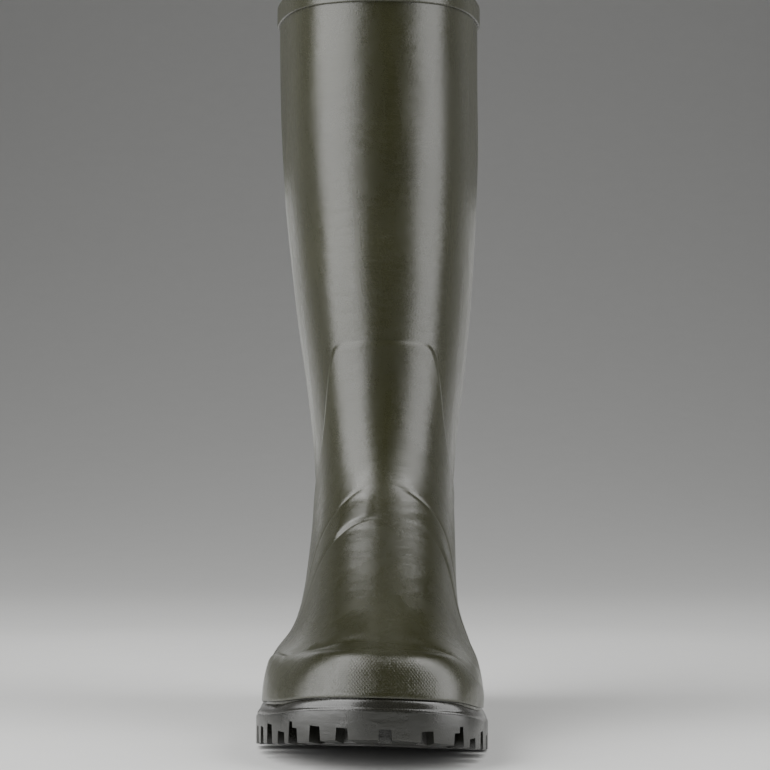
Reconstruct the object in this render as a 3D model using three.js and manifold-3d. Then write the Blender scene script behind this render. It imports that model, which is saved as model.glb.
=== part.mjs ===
// A right rubber hunting boot, standing on its sole. Millimetres, +Z up, toe towards -Y, inner side of the
// foot towards +X. The leg and foot are one skin worked out from tables of rings, and every layer that lies
// on the boot, such as toe cap, vamp and rand, is an offset of that same skin, cut to its own outline.
import * as THREE from 'three';
import { mergeVertices } from 'three/addons/utils/BufferGeometryUtils.js';
import Module from 'manifold-3d';

const wasm = await Module();
wasm.setup();

// Driving sizes
const BOOT_HEIGHT = 380.5; // floor to collar
const LEG_WIDTH = 107.4; // across the collar
const LEG_DEPTH = 145; // front to back at the collar
const ANKLE_WIDTH = 75.8;
const INSTEP_HEIGHT = 127.5; // floor to the bend between leg and foot
const TOE_HEIGHT = 52.4; // floor to the top of the upper over the toes
const SOLE_LENGTH = 303.5;
const BALL_WIDTH = 111.3; // outsole, from outer to inner edge
const WALL = 2.4; // rubber with its lining
const BALL_SOLE = 14.2; // floor to the top of the sole under the ball
const HEEL_SOLE = 28.5; // floor to the top of the sole at the heel
const TOE_SOLE = 28.5; // floor to the top of the sole at the toe tip
const TOE_SPRING = 15.6; // floor to the tread at the toe tip
const WAIST_CLEARANCE = 12; // floor to the arch in front of the heel
const TOE_LEDGE = 5.2; // sole beyond the skin at the toe tip
const HEEL_LEDGE = 3.9; // sole beyond the skin at the back of the heel
const GAP = 0.3; // between pieces that lie on each other
const TOP_BAND_HEIGHT = 10.5;
const TOP_BAND_THICK = 1.1;
const SHIN_THICK = 0.9;
const INSTEP_THICK = 0.9;
const VAMP_THICK = 1.2;
const TOE_CAP_THICK = 2.0;
const RAND_HEIGHT = 5.8;
const RAND_SETBACK = 0.9; // rand behind the sole's edge
const INSOLE_THICK = 4;
const INSOLE_CLEARANCE = 0.6; // round the insole
const LUG_DEPTH = 5;
const LUG_PITCH = 19.3; // along the edge of the sole
const GROOVE = 5.4; // between two lugs
const EDGE_LUG_LENGTH = 15; // from the sole's edge inwards
const NOTCH_HEIGHT = 8; // of the notches along the sides and heel

const HEEL_Y = SOLE_LENGTH / 2;
const TOE_Y = -SOLE_LENGTH / 2;
const OUTER_SHARE = 0.5435; // of the ball's width, on the outer side of the boot's middle plane
const INNER_SHARE = 1 - OUTER_SHARE;
const DEGREE = Math.PI / 180;

// A table with named columns, as one object for each row
const table = (names, rows) => rows.map((row) => Object.fromEntries(names.map((name, i) => [name, row[i]])));

// Outline round a ring, by degrees from the toe: half widths as shares of the ring's own half width
const OUTLINE = table(['angle', 'leg', 'outer', 'inner'], [
  [0, 0, 0, 0],
  [15, 0.285, 0.36, 0.51],
  [30, 0.535, 0.67, 0.82],
  [45, 0.715, 0.89, 0.95],
  [60, 0.835, 0.98, 1],
  [75, 0.915, 1, 0.988],
  [90, 0.97, 0.967, 0.797],
  [105, 0.995, 0.825, 0.618],
  [120, 0.94, 0.688, 0.628],
  [135, 0.77, 0.633, 0.714],
  [150, 0.53, 0.543, 0.646],
  [165, 0.266, 0.317, 0.379],
  [180, 0, 0, 0],
]);

// Leg rings: front and back heights as shares from instep to collar, front and back places as shares of the
// leg's depth from the back of the heel, half widths as shares of the leg's width
const LEG_RINGS = table(['frontRise', 'backRise', 'front', 'back', 'outer', 'inner'], [
  [1, 1, 1.019, 0.019, 0.512, 0.488],
  [0.844, 0.844, 1.009, 0.019, 0.511, 0.489],
  [0.68, 0.672, 0.998, 0.029, 0.498, 0.492],
  [0.514, 0.502, 0.988, 0.05, 0.467, 0.476],
  [0.356, 0.34, 0.981, 0.074, 0.425, 0.452],
  [0.217, 0.198, 0.984, 0.095, 0.378, 0.418],
]);

// Ankle rings: heights as shares of the instep's height, places as shares of the sole's length from the back
// of the heel, half widths as shares of the ankle's width, and how far the outline is a foot's
const ANKLE_RINGS = table(['frontRise', 'backRise', 'front', 'back', 'outer', 'inner', 'foot'], [
  [1.204, 1.157, 0.484, 0.052, 0.491, 0.547, 0],
  [1, 0.941, 0.52, 0.052, 0.475, 0.53, 0.05],
  [0.836, 0.769, 0.587, 0.045, 0.493, 0.537, 0.2],
]);

// Foot rings: front height as shares from toe height to instep (rise) and from sole to toe height (cap),
// back height as a share from heel sole to instep, places as shares of the sole's length, half widths as
// shares of the ball's width, how far the outline is a foot's, how blunt its toe is, and how far the ring
// follows the sole's curve
const FOOT_COLUMNS = ['rise', 'cap', 'backRise', 'front', 'back', 'outer', 'inner', 'foot', 'blunt', 'sag'];
const FOOT_RINGS = table(FOOT_COLUMNS, [
  [0.442, 1, 0.5, 0.678, 0.035, 0.356, 0.365, 0.42, 0.94, 0.05],
  [0.201, 1, 0.338, 0.777, 0.024, 0.377, 0.365, 0.68, 0.85, 0.2],
  [0.057, 1, 0.242, 0.865, 0.016, 0.418, 0.391, 0.88, 0.79, 0.4],
  [0, 1, 0.177, 0.931, 0.012, 0.474, 0.417, 1, 0.83, 0.6],
  [0, 0.711, 0.116, 0.968, 0.011, 0.496, 0.431, 1, 0.96, 0.8],
]);

// The two lowest rings, at the top and foot of the rand: half widths as shares of the ball's width, height
// above the sole, and how far outside the ledge's inner line they lie at toe and heel
const BASE_RINGS = table(['outer', 'inner', 'lift', 'out'], [
  [0.499, 0.429, RAND_HEIGHT, -0.5],
  [0.492, 0.419, GAP, 0],
]);

// Top of the sole along its length: shares of the rise from ball to toe and from ball to heel
const SEAT = table(['along', 'toe', 'heel'], [
  [0, 0, 1],
  [0.17, 0, 0.846],
  [0.335, 0, 0.531],
  [0.467, 0, 0.196],
  [0.566, 0, 0.028],
  [0.664, 0, 0],
  [0.747, 0.14, 0],
  [0.812, 0.3, 0],
  [0.878, 0.485, 0],
  [0.944, 0.775, 0],
  [1, 1, 0],
]);

// Tread in front of the heel: shares of the toe spring and of the waist's clearance
const HEEL_FRONT = 0.303; // heel breast, as a share of the sole's length from the back
const TREAD_BACK = 0.53; // back end of the forefoot's lugs, as a share of the same length
const TREAD = table(['along', 'toe', 'waist'], [
  [HEEL_FRONT, 0, 1],
  [0.35, 0, 0.95],
  [0.41, 0, 0.72],
  [0.47, 0, 0.25],
  [0.516, 0, 0],
  [0.63, 0, 0],
  [0.7, 0.06, 0],
  [0.747, 0.17, 0],
  [0.812, 0.33, 0],
  [0.878, 0.49, 0],
  [0.944, 0.71, 0],
  [1, 1, 0],
]);

// Notches between the edge lugs round the toe: degrees from the toe, and height above the tread
const TOE_NOTCHES = table(['angle', 'height'], [
  [-54, 8],
  [-47.6, 7.8],
  [-41.4, 9.1],
  [-34.9, 5.5],
  [-29.5, 7],
  [-21.1, 7],
  [-12, 5.4],
  [1, 4.7],
  [11.7, 4.9],
  [22.5, 5.9],
  [29.9, 4.5],
  [38.6, 8.4],
  [48.5, 7],
  [58, 8],
]);

// Back edge of the shin and ankle guard in side view, from the shin down to the heel breast: shares of the
// sole's length from the back and of the instep's height
const SHIN_EDGE = table(['along', 'rise'], [
  [0.52, 1.555],
  [0.47, 1.553],
  [0.447, 1.522],
  [0.428, 1.42],
  [0.398, 1.216],
  [0.375, 1.098],
  [0.342, 1.012],
  [0.302, 0.878],
  [0.263, 0.69],
  [0.236, 0.486],
  [0.22, 0.2],
]);

// Edges of the instep band, as shares of the sole's length from the back
const BAND_EDGES = { back: 0.5255, front: 0.579 };

// Upper edge of the toe cap in plan, from the outer to the inner side: shares of the ball's width from the
// middle plane and of the sole's length from the back
const CAP_EDGE = table(['across', 'along'], [
  [-0.6, 0.44],
  [-0.5, 0.535],
  [-0.47, 0.598],
  [-0.457, 0.655],
  [-0.44, 0.73],
  [-0.404, 0.785],
  [-0.32, 0.815],
  [-0.2, 0.827],
  [-0.077, 0.843],
  [0.052, 0.846],
  [0.195, 0.832],
  [0.272, 0.817],
  [0.35, 0.809],
  [0.405, 0.782],
  [0.45, 0.725],
  [0.6, 0.6],
]);

const SKIN_STEPS = 40; // points round the skin
const SOLE_STEPS = 96; // points round the sole's edge
const PROFILE_STEPS = 48; // points along the sole's side view
const CURVE_STEPS = 30; // points along a cut edge
const SOLE_ROW = LEG_RINGS.length + ANKLE_RINGS.length + FOOT_RINGS.length + BASE_RINGS.length - 1;
const RAND_ROW = SOLE_ROW - 1;
const LAYER_FOOT = RAND_ROW - 0.04; // the row where a layer stops, just clear of the rand
const SKIN_ROWS = [0, 1, 2, 3, 4.5, 5, 6, 6.5, 7, 7.5, 8, 8.5, 9, 9.5, 10, 10.5, 11, 11.5, 12, 12.5, 13,
  13.5, LAYER_FOOT, RAND_ROW, SOLE_ROW];
const TOP_ROWS = { shin: 4.5, instep: 6.5, vamp: 7.5, cap: 10 }; // where the layers are cut from
const REACH = SOLE_LENGTH + BOOT_HEIGHT; // longer than any piece

// Natural cubic spline through the points (xs, ys), as a function of x
function spline(xs, ys) {
  const last = xs.length - 1;
  const bend = new Array(xs.length).fill(0);
  const factor = new Array(xs.length).fill(0);
  for (let i = 1; i < last; i += 1) {
    const before = xs[i] - xs[i - 1];
    const span = xs[i + 1] - xs[i - 1];
    const turn = (ys[i + 1] - ys[i]) / (xs[i + 1] - xs[i]) - (ys[i] - ys[i - 1]) / before;
    const pivot = (before / span) * factor[i - 1] + 2;
    factor[i] = (before / span - 1) / pivot;
    bend[i] = ((6 * turn) / span - (before / span) * bend[i - 1]) / pivot;
  }
  for (let i = last - 1; i > 0; i -= 1) {
    bend[i] += factor[i] * bend[i + 1];
  }
  return (x) => {
    let i = 0;
    while (i < last - 1 && x > xs[i + 1]) {
      i += 1;
    }
    const step = xs[i + 1] - xs[i];
    const a = (xs[i + 1] - x) / step;
    const b = (x - xs[i]) / step;
    const curve = (a ** 3 - a) * bend[i] + (b ** 3 - b) * bend[i + 1];
    return a * ys[i] + b * ys[i + 1] + (curve * step * step) / 6;
  };
}

// A column of a table, or a value worked out from its rows, as a spline over another column
const splineOver = (rows, over, value) => spline(rows.map((row) => row[over]), rows.map(value));

const legShare = splineOver(OUTLINE, 'angle', (row) => row.leg);
const outerShare = splineOver(OUTLINE, 'angle', (row) => row.outer);
const innerShare = splineOver(OUTLINE, 'angle', (row) => row.inner);
const seatRise = splineOver(SEAT, 'along', (row) => (
  row.toe * (TOE_SOLE - BALL_SOLE) + row.heel * (HEEL_SOLE - BALL_SOLE)
));
const treadRise = splineOver(TREAD, 'along', (row) => row.toe * TOE_SPRING + row.waist * WAIST_CLEARANCE);

const alongOf = (y) => (HEEL_Y - y) / SOLE_LENGTH;
const placeOf = (along) => HEEL_Y - along * SOLE_LENGTH;
const seatHeight = (y) => BALL_SOLE + seatRise(THREE.MathUtils.clamp(alongOf(y), 0, 1));

// Height of the tread above the floor, which is level under the ball and the heel
function treadHeight(y) {
  const along = alongOf(y);
  return along < HEEL_FRONT ? 0 : Math.max(0, treadRise(Math.min(along, 1)));
}

// All rings of the skin in millimetres, from the collar down to the sole
function skinRings() {
  const leg = LEG_RINGS.map((ring) => ({
    frontY: HEEL_Y - ring.front * LEG_DEPTH,
    frontZ: INSTEP_HEIGHT + ring.frontRise * (BOOT_HEIGHT - INSTEP_HEIGHT),
    backY: HEEL_Y - ring.back * LEG_DEPTH,
    backZ: INSTEP_HEIGHT + ring.backRise * (BOOT_HEIGHT - INSTEP_HEIGHT),
    outer: ring.outer * LEG_WIDTH,
    inner: ring.inner * LEG_WIDTH,
    foot: 0,
    blunt: 1,
    sag: 0,
  }));
  const ankle = ANKLE_RINGS.map((ring) => ({
    frontY: placeOf(ring.front),
    frontZ: ring.frontRise * INSTEP_HEIGHT,
    backY: placeOf(ring.back),
    backZ: ring.backRise * INSTEP_HEIGHT,
    outer: ring.outer * ANKLE_WIDTH,
    inner: ring.inner * ANKLE_WIDTH,
    foot: ring.foot,
    blunt: 1,
    sag: 0,
  }));
  const foot = FOOT_RINGS.map((ring) => ({
    frontY: placeOf(ring.front),
    frontZ: TOE_SOLE + ring.cap * (TOE_HEIGHT - TOE_SOLE) + ring.rise * (INSTEP_HEIGHT - TOE_HEIGHT),
    backY: placeOf(ring.back),
    backZ: HEEL_SOLE + ring.backRise * (INSTEP_HEIGHT - HEEL_SOLE),
    outer: ring.outer * BALL_WIDTH,
    inner: ring.inner * BALL_WIDTH,
    foot: ring.foot,
    blunt: ring.blunt,
    sag: ring.sag,
  }));
  const base = BASE_RINGS.map((ring) => ({
    frontY: TOE_Y + TOE_LEDGE - ring.out,
    frontZ: TOE_SOLE + ring.lift,
    backY: HEEL_Y - HEEL_LEDGE - ring.out,
    backZ: HEEL_SOLE + ring.lift,
    outer: ring.outer * BALL_WIDTH,
    inner: ring.inner * BALL_WIDTH,
    foot: 1,
    blunt: 1,
    sag: 1,
  }));
  return [...leg, ...ankle, ...foot, ...base];
}

const RINGS = skinRings();
const ringSplines = Object.keys(RINGS[0]).map((name) => [
  name,
  spline(RINGS.map((_, row) => row), RINGS.map((ring) => ring[name])),
]);
const BLUNT_TURN = 70 * DEGREE; // either side of the toe, where the bluntness acts

// A point of the skin: row 0 is the collar and SOLE_ROW the sole, angle 0 the toe, plus on the inner side
function skin(row, angle) {
  const ring = Object.fromEntries(ringSplines.map(([name, curve]) => [name, curve(row)]));
  const degrees = Math.min(180, Math.abs(angle) / DEGREE);
  const inside = angle > 0;
  const foot = THREE.MathUtils.clamp(ring.foot, 0, 1);
  const sag = THREE.MathUtils.clamp(ring.sag, 0, 1);
  const footShare = inside ? innerShare(degrees) : outerShare(degrees);
  const share = (1 - foot) * legShare(degrees) + foot * footShare;
  const near = THREE.MathUtils.smoothstep(1 - Math.abs(angle) / BLUNT_TURN, 0, 1);
  const half = (inside ? ring.inner : -ring.outer) * (1 + (ring.blunt - 1) * near);
  const back = (1 - Math.cos(angle)) / 2;
  const y = ring.frontY + (ring.backY - ring.frontY) * back;
  const straight = TOE_SOLE + (HEEL_SOLE - TOE_SOLE) * back;
  const z = ring.frontZ + (ring.backZ - ring.frontZ) * back + sag * (seatHeight(y) - straight);
  return new THREE.Vector3(half * share, y, z);
}

// The skin moved outwards by a distance, square to it; at the collar and the rand its rims stay level
function offsetSkin(row, angle, distance) {
  const nudge = 0.01;
  const down = skin(Math.min(row + nudge, SOLE_ROW), angle).sub(skin(Math.max(row - nudge, 0), angle));
  const round = skin(row, angle + nudge).sub(skin(row, angle - nudge));
  const out = down.cross(round);
  if (row === 0 || row >= RAND_ROW) {
    out.z = 0;
  }
  return skin(row, angle).addScaledVector(out.normalize(), distance);
}

const angleAt = (index, steps) => (-1 + (2 * index) / steps) * Math.PI;

// A closed ring round the boot: loopAt(angle) gives the corners of its section, down the outside first. The
// two halves of a loop are split the same way, so that two offsets of the skin keep their distance
function ringGeometry(loopAt) {
  const loops = Array.from({ length: SKIN_STEPS }, (_, i) => loopAt(angleAt(i, SKIN_STEPS)));
  const size = loops[0].length;
  const index = [];
  for (let i = 0; i < SKIN_STEPS; i += 1) {
    const here = i * size;
    const there = ((i + 1) % SKIN_STEPS) * size;
    for (let j = 0; j < size; j += 1) {
      const after = (j + 1) % size;
      if (j < size / 2) {
        index.push(here + j, here + after, there + j, there + j, here + after, there + after);
      } else {
        index.push(here + j, here + after, there + after, here + j, there + after, there + j);
      }
    }
  }
  const geometry = new THREE.BufferGeometry();
  const positions = loops.flat().flatMap((point) => point.toArray());
  geometry.setAttribute('position', new THREE.Float32BufferAttribute(positions, 3));
  geometry.setIndex(index);
  return geometry;
}

// A layer between two offsets of the skin, over some of its rows from top to bottom
function layerGeometry(rows, inside, outside) {
  return ringGeometry((angle) => [
    ...rows.map((row) => offsetSkin(row, angle, outside)),
    ...[...rows].reverse().map((row) => offsetSkin(row, angle, inside)),
  ]);
}

// A closed three.js geometry as a solid that can be cut and joined
function toSolid(geometry) {
  const bare = geometry.clone();
  bare.deleteAttribute('normal');
  bare.deleteAttribute('uv');
  const merged = mergeVertices(bare, 1e-4);
  return new wasm.Manifold(new wasm.Mesh({
    numProp: 3,
    vertProperties: new Float32Array(merged.attributes.position.array),
    triVerts: new Uint32Array(merged.index.array),
  }));
}

function toGeometry(solid) {
  const mesh = solid.getMesh();
  const geometry = new THREE.BufferGeometry();
  geometry.setAttribute('position', new THREE.BufferAttribute(mesh.vertProperties, 3));
  geometry.setIndex(new THREE.BufferAttribute(mesh.triVerts, 1));
  return geometry;
}

// Everything between two planes across the boot
function slab(frontY, backY) {
  const box = new THREE.BoxGeometry(REACH, backY - frontY, 2 * REACH);
  box.translate(0, (frontY + backY) / 2, 0);
  return toSolid(box);
}

// A side view outline of [y, z] corners, carried right across the boot
function sidePrism(corners) {
  const shape = new THREE.Shape(corners.map(([y, z]) => new THREE.Vector2(y, z)));
  const prism = new THREE.ExtrudeGeometry(shape, { depth: REACH, bevelEnabled: false });
  prism.translate(0, 0, -REACH / 2);
  prism.applyMatrix4(new THREE.Matrix4().makeBasis(
    new THREE.Vector3(0, 1, 0),
    new THREE.Vector3(0, 0, 1),
    new THREE.Vector3(1, 0, 0),
  ));
  return toSolid(prism);
}

// A plan view outline of [x, y] corners, carried up from below the floor
function planPrism(corners) {
  const shape = new THREE.Shape(corners.map(([x, y]) => new THREE.Vector2(x, y)));
  const prism = new THREE.ExtrudeGeometry(shape, { depth: REACH, bevelEnabled: false });
  prism.translate(0, 0, -REACH / 4);
  return toSolid(prism);
}

// Points of a smooth curve through a few [a, b] corners
function curveThrough(corners) {
  const curve = new THREE.SplineCurve(corners.map(([a, b]) => new THREE.Vector2(a, b)));
  return curve.getPoints(CURVE_STEPS).map((point) => point.toArray());
}

// A point of the sole's edge in plan, moved inwards by a distance
function soleEdge(angle, inset) {
  const place = (turn) => {
    const degrees = Math.min(180, Math.abs(turn) / DEGREE);
    const half = turn > 0 ? innerShare(degrees) * INNER_SHARE : -outerShare(degrees) * OUTER_SHARE;
    return new THREE.Vector2(half * BALL_WIDTH, -Math.cos(turn) * HEEL_Y);
  };
  const nudge = 0.01;
  const along = place(angle + nudge).sub(place(angle - nudge)).normalize();
  return place(angle).add(new THREE.Vector2(-along.y, along.x).multiplyScalar(inset));
}

// The sole's whole outline in plan, moved inwards by a distance
function soleOutline(inset) {
  const angles = Array.from({ length: SOLE_STEPS }, (_, i) => angleAt(i, SOLE_STEPS));
  return angles.map((angle) => soleEdge(angle, inset).toArray());
}

// Heights along the sole as [y, height(y)] from one place to another
function profile(fromY, toY, height) {
  const steps = Math.max(2, Math.ceil((PROFILE_STEPS * Math.abs(toY - fromY)) / SOLE_LENGTH));
  return Array.from({ length: steps + 1 }, (_, i) => {
    const y = fromY + ((toY - fromY) * i) / steps;
    return [y, height(y)];
  });
}

// The band of space that follows the sole's seat between two heights above it
function aboveSeat(low, high) {
  const over = TOE_LEDGE; // past both ends of the sole
  return sidePrism([
    ...profile(TOE_Y - over, HEEL_Y + over, (y) => seatHeight(y) + low),
    ...profile(HEEL_Y + over, TOE_Y - over, (y) => seatHeight(y) + high),
  ]);
}

// Places along the sole's edge one lug pitch apart, as angles from one angle towards another
function edgePlaces(start, end) {
  const step = 0.25 * DEGREE * Math.sign(end - start);
  const places = [start];
  let walked = 0;
  for (let angle = start; Math.abs(angle - start) < Math.abs(end - start); angle += step) {
    walked += soleEdge(angle + step, 0).distanceTo(soleEdge(angle, 0));
    if (walked >= LUG_PITCH) {
      places.push(angle + step);
      walked = 0;
    }
  }
  return places;
}

// A notch between two edge lugs, open below and outside
function edgeNotch(angle, height) {
  const rim = soleEdge(angle, -GROOVE);
  const end = soleEdge(angle, EDGE_LUG_LENGTH + GROOVE / 2);
  const tread = treadHeight(soleEdge(angle, 0).y);
  const box = new THREE.BoxGeometry(rim.distanceTo(end), GROOVE, 2 * REACH);
  box.rotateZ(Math.atan2(end.y - rim.y, end.x - rim.x));
  box.translate((rim.x + end.x) / 2, (rim.y + end.y) / 2, tread + height - REACH);
  return toSolid(box);
}

// The grooves inside the edge lugs over one stretch of the tread: a channel round it and bars across it
function innerGrooves(frontY, backY) {
  const field = planPrism(soleOutline(EDGE_LUG_LENGTH));
  const bars = planPrism(soleOutline(EDGE_LUG_LENGTH + GROOVE)).intersect(slab(frontY, backY));
  let grooves = field.intersect(slab(frontY - GROOVE, backY + GROOVE)).subtract(bars);
  for (let y = frontY + LUG_PITCH; y < backY - LUG_PITCH / 2; y += LUG_PITCH) {
    grooves = grooves.add(field.intersect(slab(y - GROOVE / 2, y + GROOVE / 2)));
  }
  const under = sidePrism([
    ...profile(frontY - GROOVE, backY + GROOVE, (y) => treadHeight(y) + LUG_DEPTH),
    [backY + GROOVE, -REACH],
    [frontY - GROOVE, -REACH],
  ]);
  return grooves.intersect(under);
}

// Moulded sole and heel in one, with its seat, toe spring, waist, heel breast and lugs
function outsole() {
  const breast = placeOf(HEEL_FRONT);
  const over = TOE_LEDGE;
  const sideView = sidePrism([
    ...profile(TOE_Y - over, breast - GAP, treadHeight),
    [breast, 0],
    [HEEL_Y + over, 0],
    ...profile(HEEL_Y + over, TOE_Y - over, seatHeight),
  ]);
  let sole = planPrism(soleOutline(0)).intersect(sideView);
  for (const notch of TOE_NOTCHES) {
    sole = sole.subtract(edgeNotch(notch.angle * DEGREE, notch.height));
  }
  const forefootEnd = Math.acos(-placeOf(TREAD_BACK) / HEEL_Y);
  const heelEnd = Math.acos(-(breast + EDGE_LUG_LENGTH) / HEEL_Y);
  for (const rearmost of [TOE_NOTCHES[0], TOE_NOTCHES.at(-1)]) {
    const side = Math.sign(rearmost.angle);
    const places = [
      ...edgePlaces(rearmost.angle * DEGREE, side * forefootEnd).slice(1),
      ...edgePlaces(side * Math.PI, side * heelEnd),
    ];
    for (const angle of places) {
      sole = sole.subtract(edgeNotch(angle, NOTCH_HEIGHT));
    }
  }
  const frontField = innerGrooves(TOE_Y + EDGE_LUG_LENGTH + GROOVE, placeOf(TREAD_BACK));
  const heelField = innerGrooves(breast + EDGE_LUG_LENGTH, HEEL_Y - EDGE_LUG_LENGTH - GROOVE);
  return toGeometry(sole.subtract(frontField).subtract(heelField));
}

// Loose footbed, cut to the inside of the upper
function insole() {
  const inset = WALL + INSOLE_CLEARANCE;
  const angles = Array.from({ length: SKIN_STEPS }, (_, i) => angleAt(i, SKIN_STEPS));
  const outline = planPrism(angles.map((angle) => {
    const point = offsetSkin(SOLE_ROW, angle, -inset);
    return [point.x, point.y];
  }));
  return toGeometry(outline.intersect(aboveSeat(GAP, GAP + INSOLE_THICK)));
}

// Leg and foot in one hollow skin, open at the collar and under the foot
const upper = () => layerGeometry(SKIN_ROWS, -WALL, 0);

// Binding strip round the collar
function topBand() {
  const rows = 1 / ((BOOT_HEIGHT - INSTEP_HEIGHT) * (LEG_RINGS[0].frontRise - LEG_RINGS[1].frontRise));
  const foot = TOP_BAND_HEIGHT * rows;
  const chamfer = TOP_BAND_THICK / 2;
  return ringGeometry((angle) => [
    offsetSkin(0, angle, GAP + TOP_BAND_THICK - chamfer),
    offsetSkin(chamfer * rows, angle, GAP + TOP_BAND_THICK),
    offsetSkin(foot - chamfer * rows, angle, GAP + TOP_BAND_THICK),
    offsetSkin(foot, angle, GAP + TOP_BAND_THICK - chamfer),
    offsetSkin(foot, angle, GAP),
    offsetSkin(0, angle, GAP),
  ]);
}

// Round bead in the corner between the foot and the sole's ledge
function rand() {
  return ringGeometry((angle) => {
    const top = offsetSkin(RAND_ROW, angle, GAP);
    const foot = offsetSkin(SOLE_ROW, angle, GAP);
    const edge = soleEdge(angle, RAND_SETBACK);
    const bead = (share, height) => {
      const x = THREE.MathUtils.lerp(top.x, edge.x, share);
      const y = THREE.MathUtils.lerp(top.y, edge.y, share);
      return new THREE.Vector3(x, y, seatHeight(y) + GAP + height * (RAND_HEIGHT - GAP));
    };
    return [top, bead(0.5, 0.96), bead(0.85, 0.72), bead(1, 0.36), bead(1, 0), foot];
  });
}

// A layer on the foot between the skin and a thickness, from a row down to the rand
function footLayer(topRow, thickness) {
  const rows = SKIN_ROWS.filter((row) => row >= topRow && row <= LAYER_FOOT);
  return toSolid(layerGeometry(rows, GAP, GAP + thickness));
}

// Everything in front of the toe cap's edge, with the edge moved back by a distance
function capSpace(back) {
  const edge = curveThrough(CAP_EDGE.map((row) => [row.across * BALL_WIDTH, placeOf(row.along) + back]));
  const outer = [-REACH, edge[0][1]];
  const inner = [REACH, edge.at(-1)[1]];
  return planPrism([...edge, inner, [REACH, -REACH], [-REACH, -REACH], outer]);
}

// Thick bumper over the toes and along both sides of the ball
const toeCap = () => toGeometry(footLayer(TOP_ROWS.cap, TOE_CAP_THICK).intersect(capSpace(-GAP)));

// Cover from the instep band down to the toe cap
function vamp() {
  const front = slab(-REACH, placeOf(BAND_EDGES.front) - GAP / 2);
  return toGeometry(footLayer(TOP_ROWS.vamp, VAMP_THICK).intersect(front).subtract(capSpace(0)));
}

// Strap-like band over the instep, down both sides to the rand
function instepBand() {
  const across = slab(placeOf(BAND_EDGES.front) + GAP / 2, placeOf(BAND_EDGES.back) - GAP / 2);
  return toGeometry(footLayer(TOP_ROWS.instep, INSTEP_THICK).intersect(across).subtract(capSpace(0)));
}

// Guard over the shin and both ankles, behind the instep band
function shinGuard() {
  const edge = curveThrough(SHIN_EDGE.map((row) => [placeOf(row.along), row.rise * INSTEP_HEIGHT]));
  const front = [[placeOf(BAND_EDGES.back) + GAP / 2, 0], [placeOf(BAND_EDGES.back) + GAP / 2, edge[0][1]]];
  const space = sidePrism([...edge, [edge.at(-1)[0], 0], ...front].reverse());
  return toGeometry(footLayer(TOP_ROWS.shin, SHIN_THICK).intersect(space));
}

const rubber = new THREE.MeshStandardMaterial({ color: 0x55523c, roughness: 0.5, metalness: 0 });
const soleRubber = new THREE.MeshStandardMaterial({ color: 0x5c5b48, roughness: 0.7, metalness: 0 });
const footbed = new THREE.MeshStandardMaterial({ color: 0x6f6a58, roughness: 0.95, metalness: 0 });

const parts = new THREE.Group();
function addPart(name, geometry, material) {
  geometry.computeVertexNormals();
  const mesh = new THREE.Mesh(geometry, material);
  mesh.name = name;
  parts.add(mesh);
}

addPart('outsole', outsole(), soleRubber);
addPart('insole', insole(), footbed);
addPart('upper', upper(), rubber);
addPart('top_band', topBand(), rubber);
addPart('shin_guard', shinGuard(), rubber);
addPart('instep_band', instepBand(), rubber);
addPart('vamp', vamp(), rubber);
addPart('toe_cap', toeCap(), rubber);
addPart('rand', rand(), soleRubber);

// The origin lies on the floor, under the middle of the boot's box
const box = new THREE.Box3().setFromObject(parts);
const middle = box.getCenter(new THREE.Vector3());
parts.position.set(-middle.x, -middle.y, -box.min.z);

const boot = new THREE.Group();
boot.add(parts);
export default boot;
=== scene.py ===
import math

import bmesh
import bpy
import numpy as np
from mathutils.kdtree import KDTree
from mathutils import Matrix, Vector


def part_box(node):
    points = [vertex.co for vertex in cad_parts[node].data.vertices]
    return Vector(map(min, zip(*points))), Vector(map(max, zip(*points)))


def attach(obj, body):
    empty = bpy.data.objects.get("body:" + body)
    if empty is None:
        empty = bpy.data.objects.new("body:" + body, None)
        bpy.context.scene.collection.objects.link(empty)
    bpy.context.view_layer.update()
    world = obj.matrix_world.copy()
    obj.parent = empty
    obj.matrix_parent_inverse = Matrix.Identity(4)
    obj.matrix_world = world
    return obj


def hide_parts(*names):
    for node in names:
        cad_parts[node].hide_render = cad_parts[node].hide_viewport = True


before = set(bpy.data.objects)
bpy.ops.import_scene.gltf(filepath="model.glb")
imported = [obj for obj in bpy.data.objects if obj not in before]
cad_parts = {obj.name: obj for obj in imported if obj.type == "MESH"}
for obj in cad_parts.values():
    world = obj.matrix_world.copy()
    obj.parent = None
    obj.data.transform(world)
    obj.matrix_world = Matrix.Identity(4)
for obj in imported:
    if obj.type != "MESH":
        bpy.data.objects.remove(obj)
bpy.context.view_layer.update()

# Upper
# The leg and foot are one hollow skin of olive rubber, laid up over a last and cured in one piece with all
# that lies on it. The shape of the last comes from rings, each an outline round the boot, and every layer
# further on is an offset of the same skin. Lengths are in millimetres until a mesh is made.
MM = 0.001
BOOT_HEIGHT = 380.5
LEG_WIDTH = 107.4
LEG_DEPTH = 145
ANKLE_WIDTH = 75.8
INSTEP_HEIGHT = 127.5
TOE_HEIGHT = 52.4
SOLE_LENGTH = 303.5
BALL_WIDTH = 111.3
BALL_SOLE = 14.2
HEEL_SOLE = 28.5
TOE_SOLE = 28.5
TOE_LEDGE = 5.2
HEEL_LEDGE = 3.9
RAND_HEIGHT = 5.8
GAP = 0.3
HEEL_Y = SOLE_LENGTH / 2
TOE_Y = -SOLE_LENGTH / 2
OUTER_SHARE = 0.5435
RUBBER = 1.5  # wall of the upper without its lining
COLLAR_LIP = 0.75  # radius of the rounded edge at the collar
BLUNT_TURN = math.radians(70)


def table(names, rows):
    """Rows under named columns, as one array for each name."""
    return {name: np.array(column, float) for name, column in zip(names, zip(*rows))}


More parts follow.
